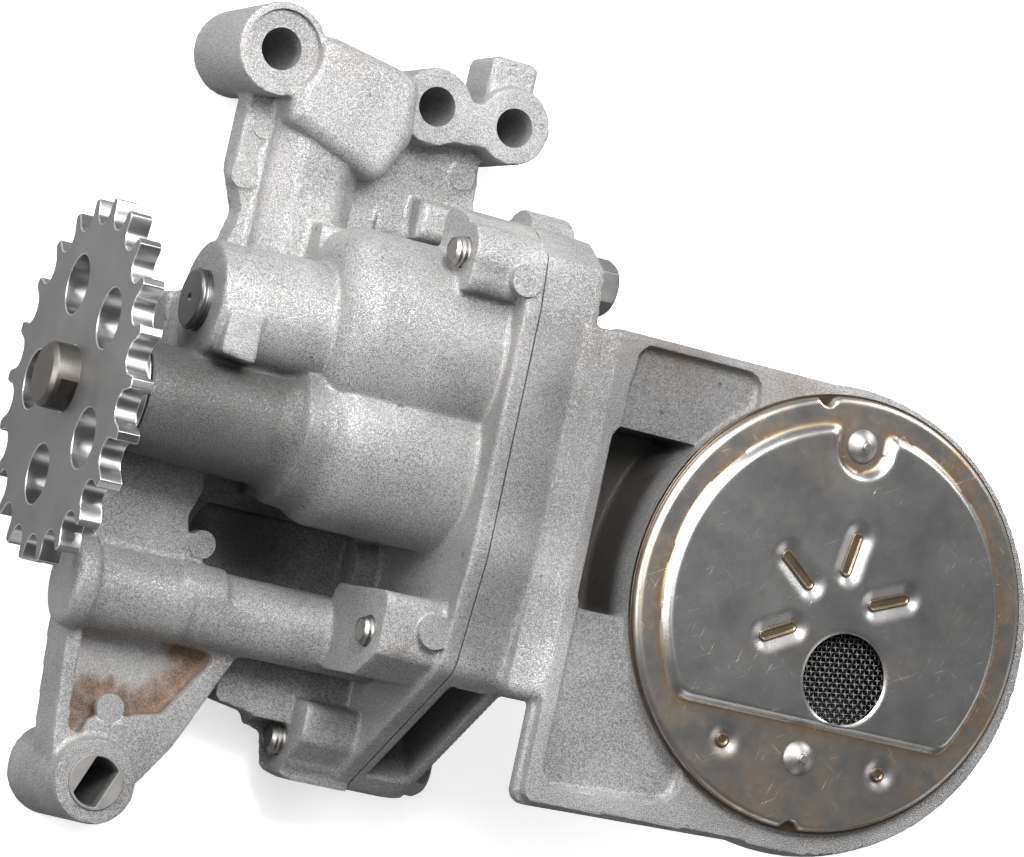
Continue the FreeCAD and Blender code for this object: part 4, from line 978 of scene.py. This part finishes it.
# %% Sprocket finishes
face_steel = Finish("sprocket_face", Metallic=1.0)
cloud = face_steel.noise(7.0, 4.0, 0.55)
fine = face_steel.noise(0.35, 3.0, 0.6)
face_steel.feed("Base Color", face_steel.mix(cloud * 0.6 + fine * 0.4, grey(0.17, 0.0),
                                             grey(0.29, 0.01)))
face_steel.feed("Roughness", cloud * 0.12 + 0.46)
face_steel.bump(fine, 0.025)

flank_steel = Finish("sprocket_flank", Metallic=1.0)
stretch = flank_steel.node("Mapping", {}, {"Vector": flank_steel.point, "Scale": (0.08, 1, 1)})
lines = flank_steel.noise(0.5, 3.0, 0.6, Term(flank_steel, stretch.outputs[0]))
flank_steel.feed("Base Color", flank_steel.mix(lines, grey(0.24, 0.0), grey(0.40, 0.01)))
flank_steel.feed("Roughness", lines * 0.05 + 0.30)
flank_steel.bump(lines, 0.005)

# %% [markdown]
# ## Pressed sheet
# The cap is bright rolled sheet that hot oil has tinted brown, most of all along the
# foot of the raised field and in blotches on the rim. The distance to that foot was
# stored on the points when the cap was shaped, so the tint follows the stamping. Short
# scratches are stretched noise cut off high, in three directions.

# %% Sheet finish
sheet_steel = Finish("pressed_sheet", Metallic=1.0)
foot = Term(sheet_steel, sheet_steel.node("Attribute", {"attribute_name": "crease"})
            .outputs["Fac"])
cloud = sheet_steel.noise(9.0, 4.0, 0.6)
mottle = sheet_steel.noise(2.2, 4.0, 0.65)
fine = sheet_steel.noise(0.3, 2.0, 0.6)
colour = sheet_steel.mix(cloud * 0.55 + mottle * 0.25 + fine * 0.2, grey(0.29, 0.005),
                         grey(0.52, 0.015))
rim = sheet_steel.step(foot, 0.6, -0.5)
at_foot = sheet_steel.step(foot, 0.5, -0.1) * sheet_steel.step(foot, -2.6, -0.1)
tint = rim * (sheet_steel.step(cloud, 0.38, 0.64) * 0.60 + 0.15)
tint = tint + at_foot * (mottle * 0.9 + 0.25)
tint = tint + sheet_steel.step(sheet_steel.noise(17.0, 3.0, 0.5), 0.52, 0.72) * 0.5
tint = sheet_steel.step(tint, 0.0, 1.3)
brown = sheet_steel.mix(mottle, (0.17, 0.120, 0.078, 1), (0.42, 0.32, 0.225, 1))
colour = sheet_steel.mix(tint, colour, brown)
print("sheet so far:", len(sheet_steel.tree.nodes), "nodes")

# %% Scratches
SCRATCHES = ((0.6, 0.06), (-0.5, 0.05), (1.9, 0.07))
scratches = 0.0
for angle, share in SCRATCHES:
    turn = sheet_steel.node("Mapping", {}, {"Vector": sheet_steel.point,
                                            "Rotation": (0, 0, angle)})
    long = sheet_steel.node("Mapping", {}, {"Vector": Term(sheet_steel, turn.outputs[0]),
                                            "Scale": (share, 1, 1)})
    streaks = sheet_steel.noise(0.35, 1.0, 0.5, Term(sheet_steel, long.outputs[0]))
    scratches = scratches + sheet_steel.step(streaks, 0.70, 0.78)
scratches = scratches * sheet_steel.step(cloud, 0.42, 0.62)
colour = sheet_steel.mix(scratches * 0.5, colour, grey(0.80, 0.02))
sheet_steel.feed("Base Color", colour)
sheet_steel.feed("Roughness", cloud * 0.12 + 0.29 + tint * 0.10)
sheet_steel.bump(fine * 0.5 + mottle * 0.3 - scratches * 0.3, 0.03)

# %% [markdown]
# ## Smaller finishes
# The ring's edge and the punched bars are tinted bronze, the bolts are bright zinc, the
# rivets burnished steel and the wire nearly black. The sprocket's worn edges are painted
# bright, partly wear and partly a painted highlight. Each still varies over its surface.

# %% Ring, bars, bolts, rivets, wire and seal


def plain_finish(name, dark, light, size, roughness, metallic=1.0, relief=0.02):
    """Two tones in clouds, with a fine relief."""
    finish = Finish(name, Metallic=metallic)
    cloud = finish.noise(size, 4.0, 0.6)
    fine = finish.noise(0.3, 2.0, 0.6)
    finish.feed("Base Color", finish.mix(cloud * 0.7 + fine * 0.3, dark, light))
    finish.feed("Roughness", cloud * 0.15 + roughness)
    finish.bump(fine, relief)
    return finish


ring_steel = plain_finish("tinted_ring", (0.07, 0.052, 0.036, 1), (0.26, 0.20, 0.15, 1),
                          6.0, 0.28)
bar_steel = plain_finish("tinted_bars", (0.11, 0.078, 0.050, 1), (0.34, 0.27, 0.19, 1),
                         4.0, 0.34)
zinc = plain_finish("bright_zinc", grey(0.22, 0.02), grey(0.36, 0.03), 2.5, 0.32)
rivet_steel = plain_finish("rivet_steel", grey(0.17, 0.02), grey(0.36, 0.03), 2.5, 0.40)
wire_steel = plain_finish("black_wire", grey(0.04), grey(0.13, 0.02), 1.5, 0.48)
rubber = plain_finish("seal_rubber", grey(0.012), grey(0.03), 2.0, 0.50, 0.0, 0.03)
inner_steel = plain_finish("inner_steel", grey(0.25, 0.01), grey(0.45, 0.01), 5.0, 0.25)
plug_steel = plain_finish("plug_steel", grey(0.32, 0.01), grey(0.52, 0.02), 5.0, 0.30)
# Worn edges with a painted highlight: a bright colour on the sprocket's bevels.
edge_steel_highlight = plain_finish("worn_edges_painted_highlight", grey(0.62), grey(0.85), 3.0, 0.22)

# %% [markdown]
# ## Dressing the frame
# Every piece gets its finish, stands for its solid and rides on its body. The
# sprocket's faces that look along the shaft get its first finish, the walls between
# them the second and the bevels the third. The solids that stay hidden inside keep
# their shape and get a finish of their own.

# %% Finishes and bodies
BEVEL_TILT, WALL_TILT = 0.97, 0.12
replaced = set()


def mark_faces(piece, tilt, index):
    """Another finish for the faces whose normal points less than this along the shaft."""
    for face in piece.data.polygons:
        if abs(face.normal.x) < tilt:
            face.material_index = index


def dress(piece, finishes, slot, body_name, *nodes):
    """Finish, place in the assembly and report one piece."""
    piece.data.materials.clear()
    for finish in finishes:
        piece.data.materials.append(finish.material)
    if nodes:
        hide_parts(*nodes)
        replaced.update(nodes)
    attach(piece, body_name)
    print("dressed", piece.name)


# The sprocket's bevels get the worn edges with their painted highlight.
dress(sprocket, [face_steel, flank_steel, edge_steel_highlight], "sprocket_steel", "driveline",
      "drive_sprocket")
mark_faces(sprocket, BEVEL_TILT, 2)
mark_faces(sprocket, WALL_TILT, 1)
dress(body, [cast], "cast", "housing", "pump_body")
dress(cover, [cast], "cast", "housing", "pump_cover")
dress(ejector_marks, [cast], "cast", "housing")
dress(drive_shaft, [shaft_steel], "ground_steel", "driveline", "drive_shaft")
dress(idler_pin, [pin_steel], "ground_steel", "housing", "idler_shaft")
dress(sleeve, [sleeve_steel], "ground_steel", "housing", "mount_sleeve")
dress(ring, [ring_steel], "sheet_steel", "housing", "strainer_ring")
dress(cap, [sheet_steel], "sheet_steel", "housing", "strainer_cap")
dress(cap_marks, [bar_steel], "sheet_steel", "housing")
dress(screen, [wire_steel], "mesh", "housing", "strainer_screen")
dress(rivets, [rivet_steel], "sheet_steel", "housing", "strainer_rivets")
dress(bolts, [zinc], "zinc", "housing", "cover_bolts")
dress(spring, [inner_steel], "ground_steel", "housing", "relief_spring")
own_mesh(spring)

# %% Solids that stay
INNER = {"outlet_seal": rubber, "gallery_plug": plug_steel}
print("replaced solids:", len(replaced), "of", len(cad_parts))
for name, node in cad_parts.items():
    if name not in replaced:
        node.data.materials.clear()
        node.data.materials.append(INNER.get(name, inner_steel).material)

# %% [markdown]
# ## Floor and light
# The photograph has a plain white ground. The castings are bright where they face up
# and turn grey and then dark towards every side, so the light is one soft lamp overhead
# in a dim room, with weak glows from the walls. A white floor would throw too much of
# that light back on the undersides. As in a studio with the paper lit on its own, the
# floor looks white to the camera and is grey for the light that bounces, and so is the
# sky.

# %% Floor
bpy.ops.mesh.primitive_plane_add(size=6, location=(0.05, -0.05, -0.0005))
floor = bpy.context.active_object
floor.name = "floor"
only(floor)
bpy.ops.object.transform_apply(location=True)
paper = Finish("floor_paper", Roughness=0.9)
cloud = paper.noise(400.0, 2.0)
paper.feed("Base Color", paper.mix(cloud, grey(0.88), grey(0.91)))
paper.shader.inputs["Emission Color"].default_value = grey(1.0)
paper.shader.inputs["Emission Strength"].default_value = 0.55
dull = paper.node("BsdfDiffuse", {}, {"Color": grey(0.22)})
seen = paper.node("LightPath").outputs["Is Camera Ray"]
both = paper.node("MixShader", {}, {0: Term(paper, seen), 1: Term(paper, dull.outputs[0]),
                                    2: Term(paper, paper.shader.outputs[0])})
output = paper.tree.nodes["Material Output"]
paper.tree.links.new(both.outputs[0], output.inputs["Surface"])
floor.data.materials.append(paper.material)
print("floor:", [round(side, 2) for side in floor.dimensions])

# %% Sky
SKY_GLOW = 0.12
world = bpy.data.worlds.new("studio")
bpy.context.scene.world = world
world.use_nodes = True
sky = world.node_tree
background = sky.nodes["Background"]
seen = sky.nodes.new("ShaderNodeLightPath").outputs["Is Camera Ray"]
level = sky.nodes.new("ShaderNodeMapRange")
level.inputs["To Min"].default_value = SKY_GLOW
level.inputs["To Max"].default_value = 1.0
sky.links.new(seen, level.inputs["Value"])
sky.links.new(level.outputs[0], background.inputs["Strength"])
background.inputs["Color"].default_value = (1, 1, 1, 1)
print("sky gives", SKY_GLOW, "of the white that the camera sees")

# %% Lamps
MIDDLE = Vector((0.03, -0.05, 0.03))
GLOW_FAR, GLOW_SIZE = 0.9, 0.42
GLOWS = [("left", 180, 18, 3.0), ("upper left", 135, 18, 2.7), ("upper right", 45, 18, 2.3),
         ("right", 345, 18, 0.35), ("top", 150, 66, 0.7), ("lower right", 290, 18, 0.35)]


def lamp(name, place, target, size, power):
    """A square soft lamp at a place, turned towards another."""
    data = bpy.data.lights.new(name, "AREA")
    data.size = size
    data.energy = power
    thing = bpy.data.objects.new(name, data)
    bpy.context.scene.collection.objects.link(thing)
    thing.location = place
    thing.rotation_euler = (Vector(place) - target).to_track_quat("Z", "Y").to_euler()
    print("lamp:", name, round(power, 2), "W")


def wall_glow(name, bearing, height, strength):
    """Soft light from a white wall: bearing from +X and height in degrees."""
    a, e = math.radians(bearing), math.radians(height)
    toward = Vector((math.cos(e) * math.cos(a), math.cos(e) * math.sin(a), math.sin(e)))
    power = strength * math.pi * GLOW_FAR ** 2
    lamp(name, MIDDLE + toward * GLOW_FAR, MIDDLE, GLOW_SIZE, power)


lamp("overhead", (-0.03, 0.12, 0.36), Vector((0.01, -0.03, 0.0)), 0.17, 3.3)
for glow in GLOWS:
    wall_glow(*glow)

# %% [markdown]
# ## Camera
# The camera was worked out from the photograph: a long lens, a little to the left of
# the pump and high above it, so that the floor fills the whole view.

# %% Camera
EYE = Vector((-0.31366, -0.12100, 0.86126))
view = bpy.data.cameras.new("camera")
view.lens = 161.72
view.sensor_width = 36
view.clip_start = 0.05
camera = bpy.data.objects.new("camera", view)
bpy.context.scene.collection.objects.link(camera)
right = Vector((0.88456, 0.21043, 0.41626))
up = Vector((-0.21829, 0.97545, -0.02925))
back = Vector((-0.4122, -0.06499, 0.90877))
facing = Matrix((right, up, back)).transposed().to_4x4()
camera.matrix_world = Matrix.Translation(EYE) @ facing
bpy.context.scene.camera = camera
bpy.context.scene.view_settings.view_transform = "Standard"
print("camera:", round(view.lens), "mm lens,", round((EYE - MIDDLE).length, 2), "m away")
